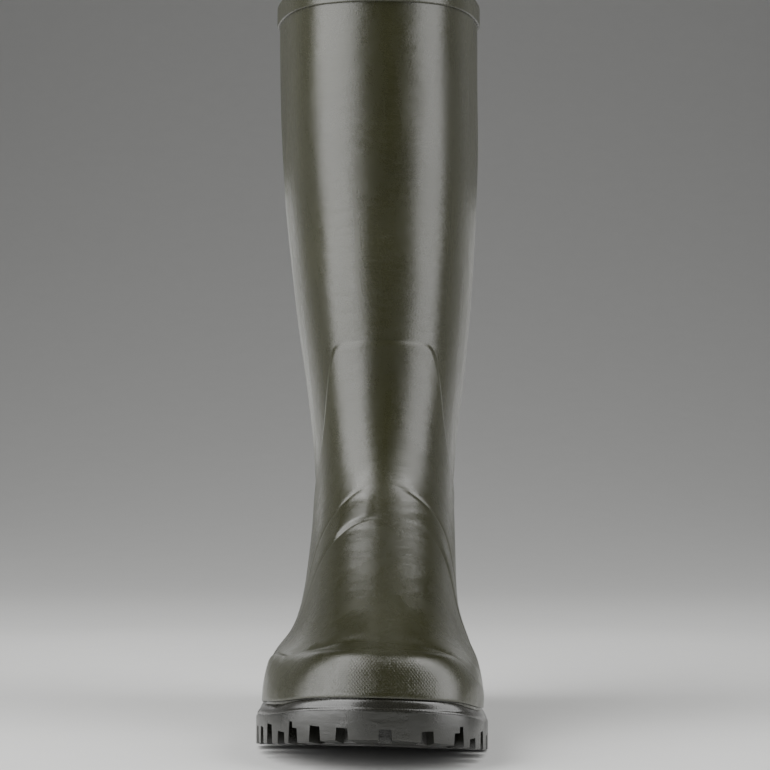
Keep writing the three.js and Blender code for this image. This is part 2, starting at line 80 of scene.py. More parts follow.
# Outline round a ring, by degrees from the toe: shares of the ring's own half width
OUTLINE = table(("angle", "leg", "outer", "inner"), (
    (0, 0, 0, 0),
    (15, 0.285, 0.36, 0.51),
    (30, 0.535, 0.67, 0.82),
    (45, 0.715, 0.89, 0.95),
    (60, 0.835, 0.98, 1),
    (75, 0.915, 1, 0.988),
    (90, 0.97, 0.967, 0.797),
    (105, 0.995, 0.825, 0.618),
    (120, 0.94, 0.688, 0.628),
    (135, 0.77, 0.633, 0.714),
    (150, 0.53, 0.543, 0.646),
    (165, 0.266, 0.317, 0.379),
    (180, 0, 0, 0),
))

# Leg rings: heights as shares from instep to collar, places as shares of the leg's depth from the heel,
# half widths as shares of the leg's width
LEG_RINGS = table(("front_rise", "back_rise", "front", "back", "outer", "inner"), (
    (1, 1, 1.019, 0.019, 0.512, 0.488),
    (0.844, 0.844, 1.009, 0.019, 0.511, 0.489),
    (0.68, 0.672, 0.998, 0.029, 0.498, 0.492),
    (0.514, 0.502, 0.988, 0.05, 0.467, 0.476),
    (0.356, 0.34, 0.981, 0.074, 0.425, 0.452),
    (0.217, 0.198, 0.984, 0.095, 0.378, 0.418),
))

# Ankle rings: heights as shares of the instep's height, places as shares of the sole's length from the
# heel, half widths as shares of the ankle's width, and how far the outline is a foot's
ANKLE_RINGS = table(("front_rise", "back_rise", "front", "back", "outer", "inner", "foot"), (
    (1.204, 1.157, 0.484, 0.052, 0.491, 0.547, 0),
    (1, 0.941, 0.52, 0.052, 0.475, 0.53, 0.05),
    (0.836, 0.769, 0.587, 0.045, 0.493, 0.537, 0.2),
))

# Foot rings: front height as shares from toe height to instep (rise) and from sole to toe height (cap),
# back height from heel sole to instep, places along the sole, half widths as shares of the ball's width,
# how far the outline is a foot's, how blunt the toe is, and how far the ring follows the sole's curve
FOOT_RINGS = table(
    ("rise", "cap", "back_rise", "front", "back", "outer", "inner", "foot", "blunt", "sag"), (
        (0.442, 1, 0.5, 0.678, 0.035, 0.356, 0.365, 0.42, 0.94, 0.05),
        (0.201, 1, 0.338, 0.777, 0.024, 0.377, 0.365, 0.68, 0.85, 0.2),
        (0.057, 1, 0.242, 0.865, 0.016, 0.418, 0.391, 0.88, 0.79, 0.4),
        (0, 1, 0.177, 0.931, 0.012, 0.474, 0.417, 1, 0.83, 0.6),
        (0, 0.711, 0.116, 0.968, 0.011, 0.496, 0.431, 1, 0.96, 0.8),
    ))

# The two lowest rings: half widths, height above the sole, and how far outside the ledge's inner line
BASE_RINGS = table(("outer", "inner", "lift", "out"), (
    (0.499, 0.429, RAND_HEIGHT, -0.5),
    (0.492, 0.419, GAP, 0),
))

# Top of the sole along its length: shares of the rise from ball to toe and from ball to heel. The forefoot
# is twisted a little, so its outer side stands higher than its inner one.
TWIST = 0.03
TWIST_START = -30  # where it starts, along the boot, and over how long it grows
TWIST_RUN = 50
SEAT = table(("along", "toe", "heel"), (
    (0, 0, 1),
    (0.17, 0, 0.846),
    (0.335, 0, 0.531),
    (0.467, 0, 0.196),
    (0.566, 0, 0.028),
    (0.664, 0, 0),
    (0.747, 0.14, 0),
    (0.812, 0.3, 0),
    (0.878, 0.485, 0),
    (0.944, 0.775, 0),
    (1, 1, 0),
))


def spline(places, values):
    """Natural cubic spline through the points, as a function of an array of places."""
    count = len(places)
    step = np.diff(places)
    matrix = np.eye(count)
    right = np.zeros(count)
    for i in range(1, count - 1):
        matrix[i, i - 1:i + 2] = step[i - 1], 2 * (step[i - 1] + step[i]), step[i]
        right[i] = 6 * ((values[i + 1] - values[i]) / step[i] - (values[i] - values[i - 1]) / step[i - 1])
    bend = np.linalg.solve(matrix, right)

    def curve(at):
        i = np.clip(np.searchsorted(places, at) - 1, 0, count - 2)
        a = (places[i + 1] - at) / step[i]
        b = (at - places[i]) / step[i]
        cubic = (a ** 3 - a) * bend[i] + (b ** 3 - b) * bend[i + 1]
        return a * values[i] + b * values[i + 1] + cubic * step[i] ** 2 / 6

    return curve


def smoothstep(share):
    share = np.clip(share, 0, 1)
    return share * share * (3 - 2 * share)


def place_of(along):
    return HEEL_Y - along * SOLE_LENGTH


def along_of(y):
    return (HEEL_Y - y) / SOLE_LENGTH


leg_share = spline(OUTLINE["angle"], OUTLINE["leg"])
outer_share = spline(OUTLINE["angle"], OUTLINE["outer"])
inner_share = spline(OUTLINE["angle"], OUTLINE["inner"])
seat_rise = spline(
    SEAT["along"], SEAT["toe"] * (TOE_SOLE - BALL_SOLE) + SEAT["heel"] * (HEEL_SOLE - BALL_SOLE))


def seat_height(y):
    """Top of the sole above the floor."""
    return BALL_SOLE + seat_rise(np.clip(along_of(y), 0, 1))


def ring_columns():
    """Every ring's sizes from the collar down to the sole, by name."""
    leg, ankle, foot, base = LEG_RINGS, ANKLE_RINGS, FOOT_RINGS, BASE_RINGS
    shaft = BOOT_HEIGHT - INSTEP_HEIGHT
    toe_front = TOE_SOLE + foot["cap"] * (TOE_HEIGHT - TOE_SOLE)
    columns = {
        "front_y": (HEEL_Y - leg["front"] * LEG_DEPTH, place_of(ankle["front"]),
                    place_of(foot["front"]), TOE_Y + TOE_LEDGE - base["out"]),
        "front_z": (INSTEP_HEIGHT + leg["front_rise"] * shaft, ankle["front_rise"] * INSTEP_HEIGHT,
                    toe_front + foot["rise"] * (INSTEP_HEIGHT - TOE_HEIGHT), TOE_SOLE + base["lift"]),
        "back_y": (HEEL_Y - leg["back"] * LEG_DEPTH, place_of(ankle["back"]),
                   place_of(foot["back"]), HEEL_Y - HEEL_LEDGE - base["out"]),
        "back_z": (INSTEP_HEIGHT + leg["back_rise"] * shaft, ankle["back_rise"] * INSTEP_HEIGHT,
                   HEEL_SOLE + foot["back_rise"] * (INSTEP_HEIGHT - HEEL_SOLE), HEEL_SOLE + base["lift"]),
        "outer": (leg["outer"] * LEG_WIDTH, ankle["outer"] * ANKLE_WIDTH,
                  foot["outer"] * BALL_WIDTH, base["outer"] * BALL_WIDTH),
        "inner": (leg["inner"] * LEG_WIDTH, ankle["inner"] * ANKLE_WIDTH,
                  foot["inner"] * BALL_WIDTH, base["inner"] * BALL_WIDTH),
        "foot": (leg["front"] * 0, ankle["foot"], foot["foot"], (1, 1)),
        "blunt": (leg["front"] * 0 + 1, (1, 1, 1), foot["blunt"], (1, 1)),
        "sag": (leg["front"] * 0, (0, 0, 0), foot["sag"], (1, 1)),
    }
    return {name: np.concatenate(parts) for name, parts in columns.items()}


RINGS = ring_columns()
SOLE_ROW = len(RINGS["foot"]) - 1.0
RAND_ROW = SOLE_ROW - 1
LAYER_FOOT = RAND_ROW - 0.04
ring_curves = {name: spline(np.arange(len(values), dtype=float), values) for name, values in RINGS.items()}


def skin(row, angle):
    """Points of the last: row 0 is the collar, angle 0 the toe, plus on the inner side."""
    row, angle = np.broadcast_arrays(np.asarray(row, float), np.asarray(angle, float))
    ring = {name: curve(row) for name, curve in ring_curves.items()}
    degrees = np.minimum(180, np.degrees(np.abs(angle)))
    inside = angle > 0
    foot = np.clip(ring["foot"], 0, 1)
    foot_share = np.where(inside, inner_share(degrees), outer_share(degrees))
    share = (1 - foot) * leg_share(degrees) + foot * foot_share
    near = smoothstep(1 - np.abs(angle) / BLUNT_TURN)
    half = np.where(inside, ring["inner"], -ring["outer"]) * (1 + (ring["blunt"] - 1) * near)
    back = (1 - np.cos(angle)) / 2
    y = ring["front_y"] + (ring["back_y"] - ring["front_y"]) * back
    straight = TOE_SOLE + (HEEL_SOLE - TOE_SOLE) * back
    sag = np.clip(ring["sag"], 0, 1)
    z = ring["front_z"] + (ring["back_z"] - ring["front_z"]) * back + sag * (seat_height(y) - straight)
    return np.stack((half * share, y, z), axis=-1)


# Soft troughs (minus) and ridges (plus) that wear and the mould leave in the skin, each from one place to
# another as row and degrees, with its width and how far it stands out
CREASES = table(("row", "angle", "row_end", "angle_end", "width", "depth"), (
    (7.55, -24, 7.5, 12, 3.2, -0.3),
    (7.95, -10, 7.85, 30, 2.6, -0.28),
    (8.3, -30, 8.2, -2, 3.0, -0.24),
    (6.7, -40, 6.9, -8, 4.0, -0.3),
    (6.4, 8, 6.6, 46, 4.2, -0.28),
    (1.1, -26, 3.4, -22, 9.0, 0.28),
    (2.6, 16, 4.4, 24, 9.0, 0.25),
    (0.8, 12, 1.9, 18, 8.0, -0.22),
    (2.2, -48, 3.8, -40, 10.0, -0.3),
    (5.2, -16, 6.4, -12, 6.0, 0.22),
    (6.6, 120, 6.9, 180, 6.0, -0.5),
    (7.3, 110, 7.4, 178, 5.0, -0.4),
    (6.7, -118, 6.8, -178, 6.0, -0.5),
    (5.9, -96, 6.3, -140, 7.0, -0.4),
    (5.9, 92, 6.4, 132, 7.0, -0.4),
    (9.4, -34, 9.3, 28, 6.0, -0.25),
))
ANKLE_DRAW = 1.5  # how far the rubber is drawn in on both sides of the ankle
ANKLE_MIDDLE = (60, 92)  # place along the boot and height in the middle of it
ANKLE_LEAN = 0.35  # how much higher it is further back
ANKLE_REACH = 26
RIPPLE_HIGH = 0.07  # small and large unevenness of the skin
SWELL_HIGH = 0.1


def relief(points):
    """How far the worn skin stands out from the last at these points."""
    x, y, z = points[..., 0], points[..., 1], points[..., 2]
    ripple = np.sin(z / 9.1 + 1.3 * np.sin(x / 17 + y / 29)) * np.sin(x / 12.7 + y / 23 + z / 61 + 0.7)
    swell = np.sin(z / 23 + x / 19 + 2.1) * np.sin(y / 31 - x / 27 + z / 47)
    side = smoothstep((np.abs(x) - 12) / 20)
    above = z - ANKLE_MIDDLE[1] - ANKLE_LEAN * (y - ANKLE_MIDDLE[0])
    drawn_in = ANKLE_DRAW * side * np.exp(-(above / ANKLE_REACH) ** 2)
    out = RIPPLE_HIGH * ripple + SWELL_HIGH * swell - drawn_in
    for i in range(len(CREASES["row"])):
        row, angle, row_end, angle_end, width, depth = (CREASES[name][i] for name in CREASES)
        start = skin(row, math.radians(angle))
        line = skin(row_end, math.radians(angle_end)) - start
        along = np.clip((points - start) @ line / (line @ line), 0, 1)
        away = np.linalg.norm(points - start - along[..., None] * line, axis=-1)
        fade = np.sin(np.pi * np.clip(along, 0.02, 0.98)) ** 0.6
        out = out + depth * fade * np.exp(-(away / width) ** 2)
    return out


def surface(row, angle, distance, worn=1.0):
    """The skin moved outwards, square to it, with its wear; at the collar and the rand it moves level."""
    row, angle = np.broadcast_arrays(np.asarray(row, float), np.asarray(angle, float))
    nudge = 0.01
    down = skin(np.minimum(row + nudge, SOLE_ROW), angle) - skin(np.maximum(row - nudge, 0), angle)
    turn = skin(row, angle + nudge) - skin(row, angle - nudge)
    out = np.cross(down, turn)
    out[..., 2] *= smoothstep(row / 0.3) * smoothstep((RAND_ROW - row) / 0.3)
    out /= np.linalg.norm(out, axis=-1, keepdims=True)
    points = skin(row, angle)
    lift = np.asarray(distance) + worn * relief(points) * smoothstep((RAND_ROW - row) / 1.5)
    return points + out * lift[..., None]


def sole_edge(angle, inset=0.0):
    """The edge of the sole in plan, moved inwards."""
    def place(turn):
        degrees = np.minimum(180, np.degrees(np.abs(turn)))
        inner = inner_share(degrees) * (1 - OUTER_SHARE)
        outer = outer_share(degrees) * OUTER_SHARE
        return np.stack((np.where(turn > 0, inner, -outer) * BALL_WIDTH, -np.cos(turn) * HEEL_Y), axis=-1)

    nudge = 0.01
    along = place(angle + nudge) - place(angle - nudge)
    along /= np.linalg.norm(along, axis=-1, keepdims=True)
    inward = np.stack((-along[..., 1], along[..., 0]), axis=-1)
    return place(angle) + inward * np.asarray(inset)[..., None]


def round_angles(steps):
    return (-1 + 2 * np.arange(steps) / steps) * math.pi


# The middle plane of the last, from where the outsole's outer edge lies in the frame
shift_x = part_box("outsole")[0].x / MM - sole_edge(round_angles(96))[:, 0].min()


def plain_mesh(points, faces):
    """A mesh in metres from points of the last in millimetres."""
    mesh = bpy.data.meshes.new("part")
    moved = points.reshape(-1, 3) + (shift_x, 0, 0)
    mesh.from_pydata((moved * MM).tolist(), [], faces)
    return mesh


def new_mesh(points, faces, merge=True):
    """A body's mesh, facing outwards; merging closes it up where points meet."""
    mesh = plain_mesh(points, faces.tolist())
    form = bmesh.new()
    form.from_mesh(mesh)
    if merge:
        bmesh.ops.remove_doubles(form, verts=form.verts, dist=1e-6)
        bmesh.ops.dissolve_degenerate(form, edges=form.edges, dist=1e-6)
    bmesh.ops.recalc_face_normals(form, faces=form.faces)
    if form.calc_volume(signed=True) < 0:
        bmesh.ops.reverse_faces(form, faces=form.faces)
    form.to_mesh(mesh)
    form.free()
    return mesh


def twist(mesh):
    """The forefoot turned a little, outer side up, with nothing pressed below the floor."""
    points = np.empty(len(mesh.vertices) * 3, np.float32)
    mesh.vertices.foreach_get("co", points)
    x, y, z = points.reshape(-1, 3).T
    z -= TWIST * (x - shift_x * MM) * smoothstep((TWIST_START * MM - y) / (TWIST_RUN * MM))
    np.maximum(z, 0, out=z)
    mesh.vertices.foreach_set("co", points)
    mesh.update()


def in_scene(name, data):
    """A new object of the scene."""
    thing = bpy.data.objects.new(name, data)
    bpy.context.scene.collection.objects.link(thing)
    return thing


def new_piece(name, mesh, material, slot, *nodes, sharp=40):
    """An object that rides on the boot and stands for CAD nodes, shaded smooth up to a sharp angle."""
    twist(mesh)
    mesh.name = name
    piece = in_scene(name, mesh)
    mesh.shade_smooth()
    mesh.set_sharp_from_angle(angle=math.radians(sharp))
    mesh.materials.clear()
    mesh.materials.append(material)
    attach(piece, "root")
    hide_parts(*nodes)


def ring_points(rows, distances, rounds):
    """A section of rows and distances from the skin, carried round the boot in even steps."""
    return surface(rows[None, :], round_angles(rounds)[:, None], distances[None, :])


def ring_mesh(points):
    """The body of a ring whose section is a closed loop of corners."""
    rounds, corners = points.shape[:2]
    i = np.arange(rounds)[:, None]
    j = np.arange(corners)[None, :]
    here, there = i * corners, (i + 1) % rounds * corners
    after = (j + 1) % corners
    faces = np.stack((here + j, here + after, there + after, there + j), axis=-1)
    return new_mesh(points, faces.reshape(-1, 4), merge=False)


def new_material(name):
    """A material with its shader and a place to add nodes."""
    material = bpy.data.materials.new(name)
    material.use_nodes = True
    tree = material.node_tree
    return material, tree, tree.nodes["Principled BSDF"]


def set_inputs(tree, node, inputs):
    """Gives a node's inputs each a value or another node's output."""
    for name, value in inputs.items():
        if isinstance(value, bpy.types.NodeSocket):
            tree.links.new(value, node.inputs[name])
        else:
            node.inputs[name].default_value = value


def add_node(tree, kind, inputs=None, **settings):
    """A node with its settings and its inputs."""
    node = tree.nodes.new(kind)
    for name, value in settings.items():
        setattr(node, name, value)
    set_inputs(tree, node, inputs or {})
    return node


def reckon(tree, operation, *values):
    """The outcome of a sum on numbers or other nodes' outputs."""
    return add_node(tree, "ShaderNodeMath", dict(enumerate(values)), operation=operation).outputs[0]


def noise(tree, place, scale, detail, roughness=0.5, distortion=0.0):
    """Soft noise between 0 and 1 at a place."""
    return add_node(tree, "ShaderNodeTexNoise", {
        "Vector": place, "Scale": scale, "Detail": detail, "Roughness": roughness,
        "Distortion": distortion}).outputs["Fac"]


def blend(tree, share, dark, light):
    """A colour between two, by a mask."""
    mix = add_node(tree, "ShaderNodeMix", {"Factor": share}, data_type="RGBA")
    set_inputs(tree, mix, {"A": (*dark, 1), "B": (*light, 1)})
    return mix.outputs["Result"]


def new_group(name, inputs, outputs):
    """An empty shader group with named number inputs and outputs of named kinds."""
    group = bpy.data.node_groups.new(name, "ShaderNodeTree")
    for label, value in inputs:
        socket = group.interface.new_socket(label, in_out="INPUT", socket_type="NodeSocketFloat")
        socket.default_value = value
    for label, kind in outputs:
        group.interface.new_socket(label, in_out="OUTPUT", socket_type=kind)
    return group, group.nodes.new("NodeGroupInput"), group.nodes.new("NodeGroupOutput")


def rubber_grain():
    """Stipple from the mould, with low ripples round the boot: their height, and specks that are duller."""
    group, given, result = new_group(
        "rubber grain",
        (("Size", 0.7), ("Ripple", 5.0)),
        (("Height", "NodeSocketFloat"), ("Speck", "NodeSocketFloat")),
    )
    place = add_node(group, "ShaderNodeTexCoord").outputs["Object"]
    per_size = reckon(group, "DIVIDE", 1000.0, given.outputs["Size"])
    fine = noise(group, place, per_size, 3.0, roughness=0.6)
    pebble = add_node(group, "ShaderNodeTexVoronoi", {
        "Vector": place, "Scale": per_size, "Smoothness": 0.4}, feature="SMOOTH_F1")
    drawn = add_node(group, "ShaderNodeVectorMath", {0: place, 1: (1, 1, 3)}, operation="MULTIPLY")
    rolling = reckon(group, "MULTIPLY", noise(group, drawn.outputs[0], 75.0, 2.0), given.outputs["Ripple"])
    stipple = reckon(group, "SUBTRACT", fine, pebble.outputs["Distance"])
    set_inputs(group, result, {"Height": reckon(group, "ADD", stipple, rolling), "Speck": fine})
    return group


def handling_marks():
    """Slow changes over the rubber from handling and bloom: one mask for colour and one for gloss."""
    group, given, result = new_group(
        "handling marks",
        (("Scale", 14.0), ("Streak", 3.0)),
        (("Tone", "NodeSocketFloat"), ("Smear", "NodeSocketFloat")),
    )
    place = add_node(group, "ShaderNodeTexCoord").outputs["Object"]
    tone = noise(group, place, given.outputs["Scale"], 4.0, roughness=0.55)
    squeeze = reckon(group, "DIVIDE", 1.0, given.outputs["Streak"])
    stretch = add_node(group, "ShaderNodeCombineXYZ", {"X": 1.0, "Y": 1.0, "Z": squeeze})
    drawn = add_node(group, "ShaderNodeVectorMath", {0: place, 1: stretch.outputs[0]}, operation="MULTIPLY")
    smear = noise(group, drawn.outputs[0], 60.0, 3.0, roughness=0.6, distortion=0.6)
    set_inputs(group, result, {"Tone": tone, "Smear": smear})
    return group


GRAIN = rubber_grain()
MARKS = handling_marks()


def rubber(name, dark, light, gloss, dull, grain_size, grain_depth, coat):
    """Moulded rubber: two close tones, roughness that changes with handling, and a stippled surface."""
    material, tree, shader = new_material(name)
    grain = add_node(tree, "ShaderNodeGroup", {"Size": grain_size}, node_tree=GRAIN)
    marks = add_node(tree, "ShaderNodeGroup", node_tree=MARKS)
    middle = {"From Min": 0.3, "From Max": 0.7}
    tone = add_node(tree, "ShaderNodeMapRange", {"Value": marks.outputs["Tone"], **middle})
    roughness = add_node(tree, "ShaderNodeMapRange", {
        "Value": marks.outputs["Smear"], **middle, "To Min": gloss, "To Max": dull})
    bump = add_node(tree, "ShaderNodeBump", {
        "Height": grain.outputs["Height"], "Distance": grain_depth * MM, "Strength": 1.0})
    set_inputs(tree, shader, {
        "Base Color": blend(tree, tone.outputs[0], dark, light),
        "Roughness": reckon(tree, "MULTIPLY_ADD", grain.outputs["Speck"], 0.12, roughness.outputs[0]),
        "Normal": bump.outputs[0],
        "Specular IOR Level": 0.75,
        "Coat Weight": coat,
        "Coat Roughness": 0.22,
    })
    return material


olive_rubber = rubber(
    "olive rubber", dark=(0.0172, 0.0176, 0.0070), light=(0.0248, 0.0254, 0.0104),
    gloss=0.18, dull=0.26, grain_size=0.5, grain_depth=0.05, coat=0.0)

SKIN_ROUNDS = 288
collar_row = (BOOT_HEIGHT - INSTEP_HEIGHT) * (1 - LEG_RINGS["front_rise"][1])  # millimetres for one row
outside_rows = np.concatenate((
    np.linspace(COLLAR_LIP / collar_row, 6, 64, endpoint=False),
    np.linspace(6, 13, 84, endpoint=False),
    np.linspace(13, SOLE_ROW, 26),
))
inside_rows = np.concatenate((np.linspace(SOLE_ROW, 6, 40), np.linspace(5.8, COLLAR_LIP / collar_row, 20)))
lip_turns = np.radians(np.arange(150, 0, -30))


def upper_section():
    """Rows and distances round the wall: down the outside, up the inside and over the collar's edge."""
    rows = np.concatenate((outside_rows, inside_rows, COLLAR_LIP * (1 - np.sin(lip_turns)) / collar_row))
    distances = np.concatenate((
        np.zeros(len(outside_rows)),
        np.full(len(inside_rows), -RUBBER),
        -COLLAR_LIP + COLLAR_LIP * np.cos(lip_turns),
    ))
    return rows, distances


upper_mesh = ring_mesh(ring_points(*upper_section(), SKIN_ROUNDS))
new_piece("upper_skin", upper_mesh, olive_rubber, "upper_rubber", "upper")

# Lining
# A thin cotton knit, glued to the inside of the rubber from just under the collar's edge down to the
# insole. It is greyish beige, and its loops run up the leg.
LINING = 0.9
LINING_DROP = 2.6  # from the collar's edge to the edge of the lining
LOOP_WIDTH = 1.6
LINING_ROUNDS = 144


def walked_along(points):
    """Distance from the first point to each, along the line through them."""
    return np.concatenate(([0], np.cumsum(np.linalg.norm(np.diff(points, axis=0), axis=1))))


def lining_mesh():
    """The knit as a thin closed sleeve, with a map in metres round and down it."""
    down = np.concatenate((
        np.linspace(LINING_DROP / collar_row, 6, 40), np.linspace(6.2, SOLE_ROW - 0.05, 44)))
    rows = np.concatenate((down, down[::-1]))
    distances = np.concatenate((np.full(len(down), -RUBBER + 0.05), np.full(len(down), -RUBBER - LINING)))
    points = ring_points(rows, distances, LINING_ROUNDS)
    mesh = ring_mesh(points)
    knit = mesh.uv_layers.new(name="knit")
    turn = LEG_WIDTH * math.pi / LINING_ROUNDS
    fall = walked_along(points[0])
    corners = np.empty(len(mesh.loops), np.int32)
    mesh.loops.foreach_get("vertex_index", corners)
    column, level = np.divmod(corners, len(rows))
    first = column.reshape(-1, 4).min(axis=1).repeat(4)
    column = np.where(column - first > LINING_ROUNDS / 2, -1, column)
    places = np.stack((column * turn, fall[level]), axis=-1) * MM
    knit.data.foreach_set("uv", places.astype(np.float32).ravel())
    return mesh


def loop_rows(tree, place, way, spread, uneven):
    """Waves across the cloth, one for each row of loops."""
    return add_node(tree, "ShaderNodeTexWave", {
        "Vector": place, "Scale": 1000 / LOOP_WIDTH / spread, "Distortion": uneven, "Detail": 1.0,
    }, bands_direction=way).outputs["Fac"]


def knit_cloth(name):
    """Cotton knit: rows of loops from the piece's own map, with soft fuzz and uneven dye."""
    material, tree, shader = new_material(name)
    place = add_node(tree, "ShaderNodeUVMap", uv_map="knit").outputs["UV"]
    loops = reckon(
        tree, "MULTIPLY", loop_rows(tree, place, "X", 6, 1.2), loop_rows(tree, place, "Y", 9, 2.0))
    marks = add_node(tree, "ShaderNodeGroup", node_tree=MARKS)
    bump = add_node(tree, "ShaderNodeBump", {"Height": loops, "Distance": 0.3 * MM})
    set_inputs(tree, shader, {
        "Base Color": blend(tree, marks.outputs["Tone"], (0.2, 0.18, 0.13), (0.3, 0.275, 0.21)),
        "Normal": bump.outputs[0],
        "Roughness": 0.95,
        "Sheen Weight": 0.25,
    })
    return material


new_piece("lining_knit", lining_mesh(), knit_cloth("cotton knit"), "upper_rubber", "upper")

# Top band
# A strip of the same rubber, laid round the outside of the collar and cured on. Its two edges are rounded
# and stand just over a millimetre proud, and its ends meet at the back of the leg.
BAND_HEIGHT = 10.5
BAND_PROUD = GAP + 1.1
BAND_EDGE = 0.8


def top_band_mesh():
    """The strip's section, carried round the collar; it sinks a little into the leg."""
    turns = np.radians(np.arange(0, 91, 22.5))
    top_drop = BAND_EDGE * (1 - np.sin(turns[::-1]))
    top_out = BAND_PROUD - BAND_EDGE * (1 - np.cos(turns[::-1]))
    middle = np.linspace(BAND_EDGE, BAND_HEIGHT - BAND_EDGE, 8)[1:-1]
    foot_drop = BAND_HEIGHT - top_drop[::-1]
    foot_out = top_out[::-1]
    drops = np.concatenate((top_drop, middle, foot_drop, [BAND_HEIGHT, 0]))
    outs = np.concatenate((top_out, np.full(len(middle), BAND_PROUD), foot_out, [-0.2, -0.2]))
    return ring_mesh(ring_points(drops / collar_row, outs, SKIN_ROUNDS))


new_piece("collar_strip", top_band_mesh(), olive_rubber, "upper_rubber", "top_band", sharp=50)

# Shin guard
# An extra sheet of rubber over the shin and both ankles, laid on the leg before curing. Its edges are
# pressed soft, so its outline shows as a low, rounded step.
SHIN_EDGE = table(("along", "rise"), (
    (0.52, 1.555),
    (0.464, 1.555),
    (0.437, 1.53),
    (0.42, 1.42),
    (0.398, 1.216),
    (0.375, 1.098),
    (0.342, 1.012),
    (0.302, 0.878),
    (0.263, 0.69),
    (0.236, 0.486),
    (0.22, 0.2),
))
BAND_BACK = 0.5255  # edges of the instep band, as shares of the sole's length from the heel
BAND_FRONT = 0.579
SHIN_PROUD = GAP + 0.9
SUNK = 0.35  # how far a layer's underside lies in the skin


def curve_through(corners, steps=120):
    """Points of a smooth curve through a few corners."""
    corners = np.asarray(corners, float)
    padded = np.concatenate((corners[:1], corners, corners[-1:]))
    at = np.linspace(0, len(corners) - 1, steps)
    i = np.minimum(at.astype(int), len(corners) - 2)
    t = (at - i)[:, None]
    before, start, end, after = padded[i], padded[i + 1], padded[i + 2], padded[i + 3]
    return 0.5 * (2 * start + (end - before) * t + (2 * before - 5 * start + 4 * end - after) * t ** 2
                  + (3 * start - before - 3 * end + after) * t ** 3)


shin_corners = np.stack((place_of(SHIN_EDGE["along"]), SHIN_EDGE["rise"] * INSTEP_HEIGHT), axis=1)
shin_curve = curve_through(shin_corners)


def past_shin_edge(points):
    """Above 0 behind the shin guard's edge, as seen from the side."""
    edge_y = np.interp(-points[..., 2], -shin_curve[:, 1], shin_curve[:, 0])
    return np.where(points[..., 2] > shin_curve[0, 1], 1.0, points[..., 1] - edge_y)


def past_band_back(points):
    return points[..., 1] - place_of(BAND_BACK)


def row_at(past, angle, top_row):
    """The row where a line crosses, for each angle, or the layers' foot if it doesn't."""
    top = np.full_like(angle, top_row)
    foot = np.full_like(angle, LAYER_FOOT)
    for _ in range(30):
        middle = (top + foot) / 2
        above = past(skin(middle, angle)) > 0
        top = np.where(above, middle, top)
        foot = np.where(above, foot, middle)
    return foot


def even_line(rows, angles, columns):
    """A line on the skin as evenly spaced places, with its ends kept."""
    walked = walked_along(skin(rows, angles))
    even = np.linspace(0, walked[-1], columns)
    return np.interp(even, walked, rows), np.interp(even, walked, angles)


def shared_span(top_of, foot_of, reach):
    """Angles from one end to the other where the top line is above the foot line."""
    angles = np.linspace(-reach, reach, 4001)
    apart = foot_of(angles) - top_of(angles) > 1e-4
    first, last = np.flatnonzero(apart)[[0, -1]]
    return angles[max(first - 1, 0)], angles[min(last + 1, len(angles) - 1)]


def layer_grid(top_of, foot_of, reach, columns, levels, edge):
    """Rows and angles of a layer between two lines, close together within a distance of its edges."""
    low, high = shared_span(top_of, foot_of, reach)
    angles = np.linspace(low, high, 3001)
    tops, feet = top_of(angles), foot_of(angles)
    feet = np.maximum(tops, feet)
    for end in (0, -1):
        feet[end] = tops[end] = (feet[end] + tops[end]) / 2
    top = even_line(tops, angles, columns)
    foot = even_line(feet, angles, columns)
    samples = np.linspace(0, 1, 40)[None, :]
    rows = top[0][:, None] * (1 - samples) + foot[0][:, None] * samples
    turns = top[1][:, None] * (1 - samples) + foot[1][:, None] * samples
    points = skin(rows, turns)
    steps = np.linalg.norm(np.diff(points, axis=1), axis=2)
    walked = np.concatenate((np.zeros((columns, 1)), np.cumsum(steps, axis=1)), axis=1)
    near_edge = np.array((0, 0.05, 0.14, 0.28, 0.46, 0.7, 1.0))
    grid = np.empty((columns, levels + 2 * len(near_edge)))
    for i in range(columns):
        length = walked[i, -1]
        close = near_edge * min(edge, 0.3 * length)
        middle = np.linspace(close[-1], length - close[-1], levels + 2)[1:-1]
        places = np.concatenate((close, middle, (length - close)[::-1]))
        grid[i] = np.interp(places, walked[i], samples[0]) if length > 0 else np.linspace(0, 1, len(places))
    rows = top[0][:, None] * (1 - grid) + foot[0][:, None] * grid
    turns = top[1][:, None] * (1 - grid) + foot[1][:, None] * grid
    return rows, turns, skin(tops, angles), skin(feet, angles)


def nearness(points, line):
    """Distance of each point from a line given by close points."""
    tree = KDTree(len(line))
    for i, point in enumerate(line):
        tree.insert(point, i)
    tree.balance()
    return np.array([tree.find(point)[2] for point in points.reshape(-1, 3)]).reshape(points.shape[:-1])


def rounded(distance, reach, soft=0.0):
    """Rises from 0 at an edge to 1 at a reach from it: a quarter round, or softer and without a crease."""
    share = np.clip(distance / reach, 0, 1)
    return (1 - soft) * np.sqrt(1 - (1 - share) ** 2) + soft * smoothstep(share)


def sheet_body(outside, inside):
    """A closed thin body between two matching grids of points."""
    columns, levels = outside.shape[:2]
    i = np.arange(columns - 1)[:, None] * levels
    j = np.arange(levels - 1)[None, :]
    quads = np.stack((i + j, i + j + 1, i + levels + j + 1, i + levels + j), axis=-1).reshape(-1, 4)
    under = columns * levels
    index = np.arange(under).reshape(columns, levels)
    rim = np.concatenate((index[:, 0], index[-1, 1:], index[-2::-1, -1], index[0, -2:0:-1]))
    following = np.roll(rim, -1)
    sides = np.stack((rim, following, following + under, rim + under), axis=-1)
    faces = np.concatenate((quads, quads[:, ::-1] + under, sides))
    return new_mesh(np.concatenate((outside.reshape(-1, 3), inside.reshape(-1, 3))), faces)


def edge_shape(points, away, width, soft, depth):
    """1 over a layer and less along its edge, by a depth at each point, over a width from the edge."""
    return 1 - depth(points) * (1 - rounded(away, width, soft))


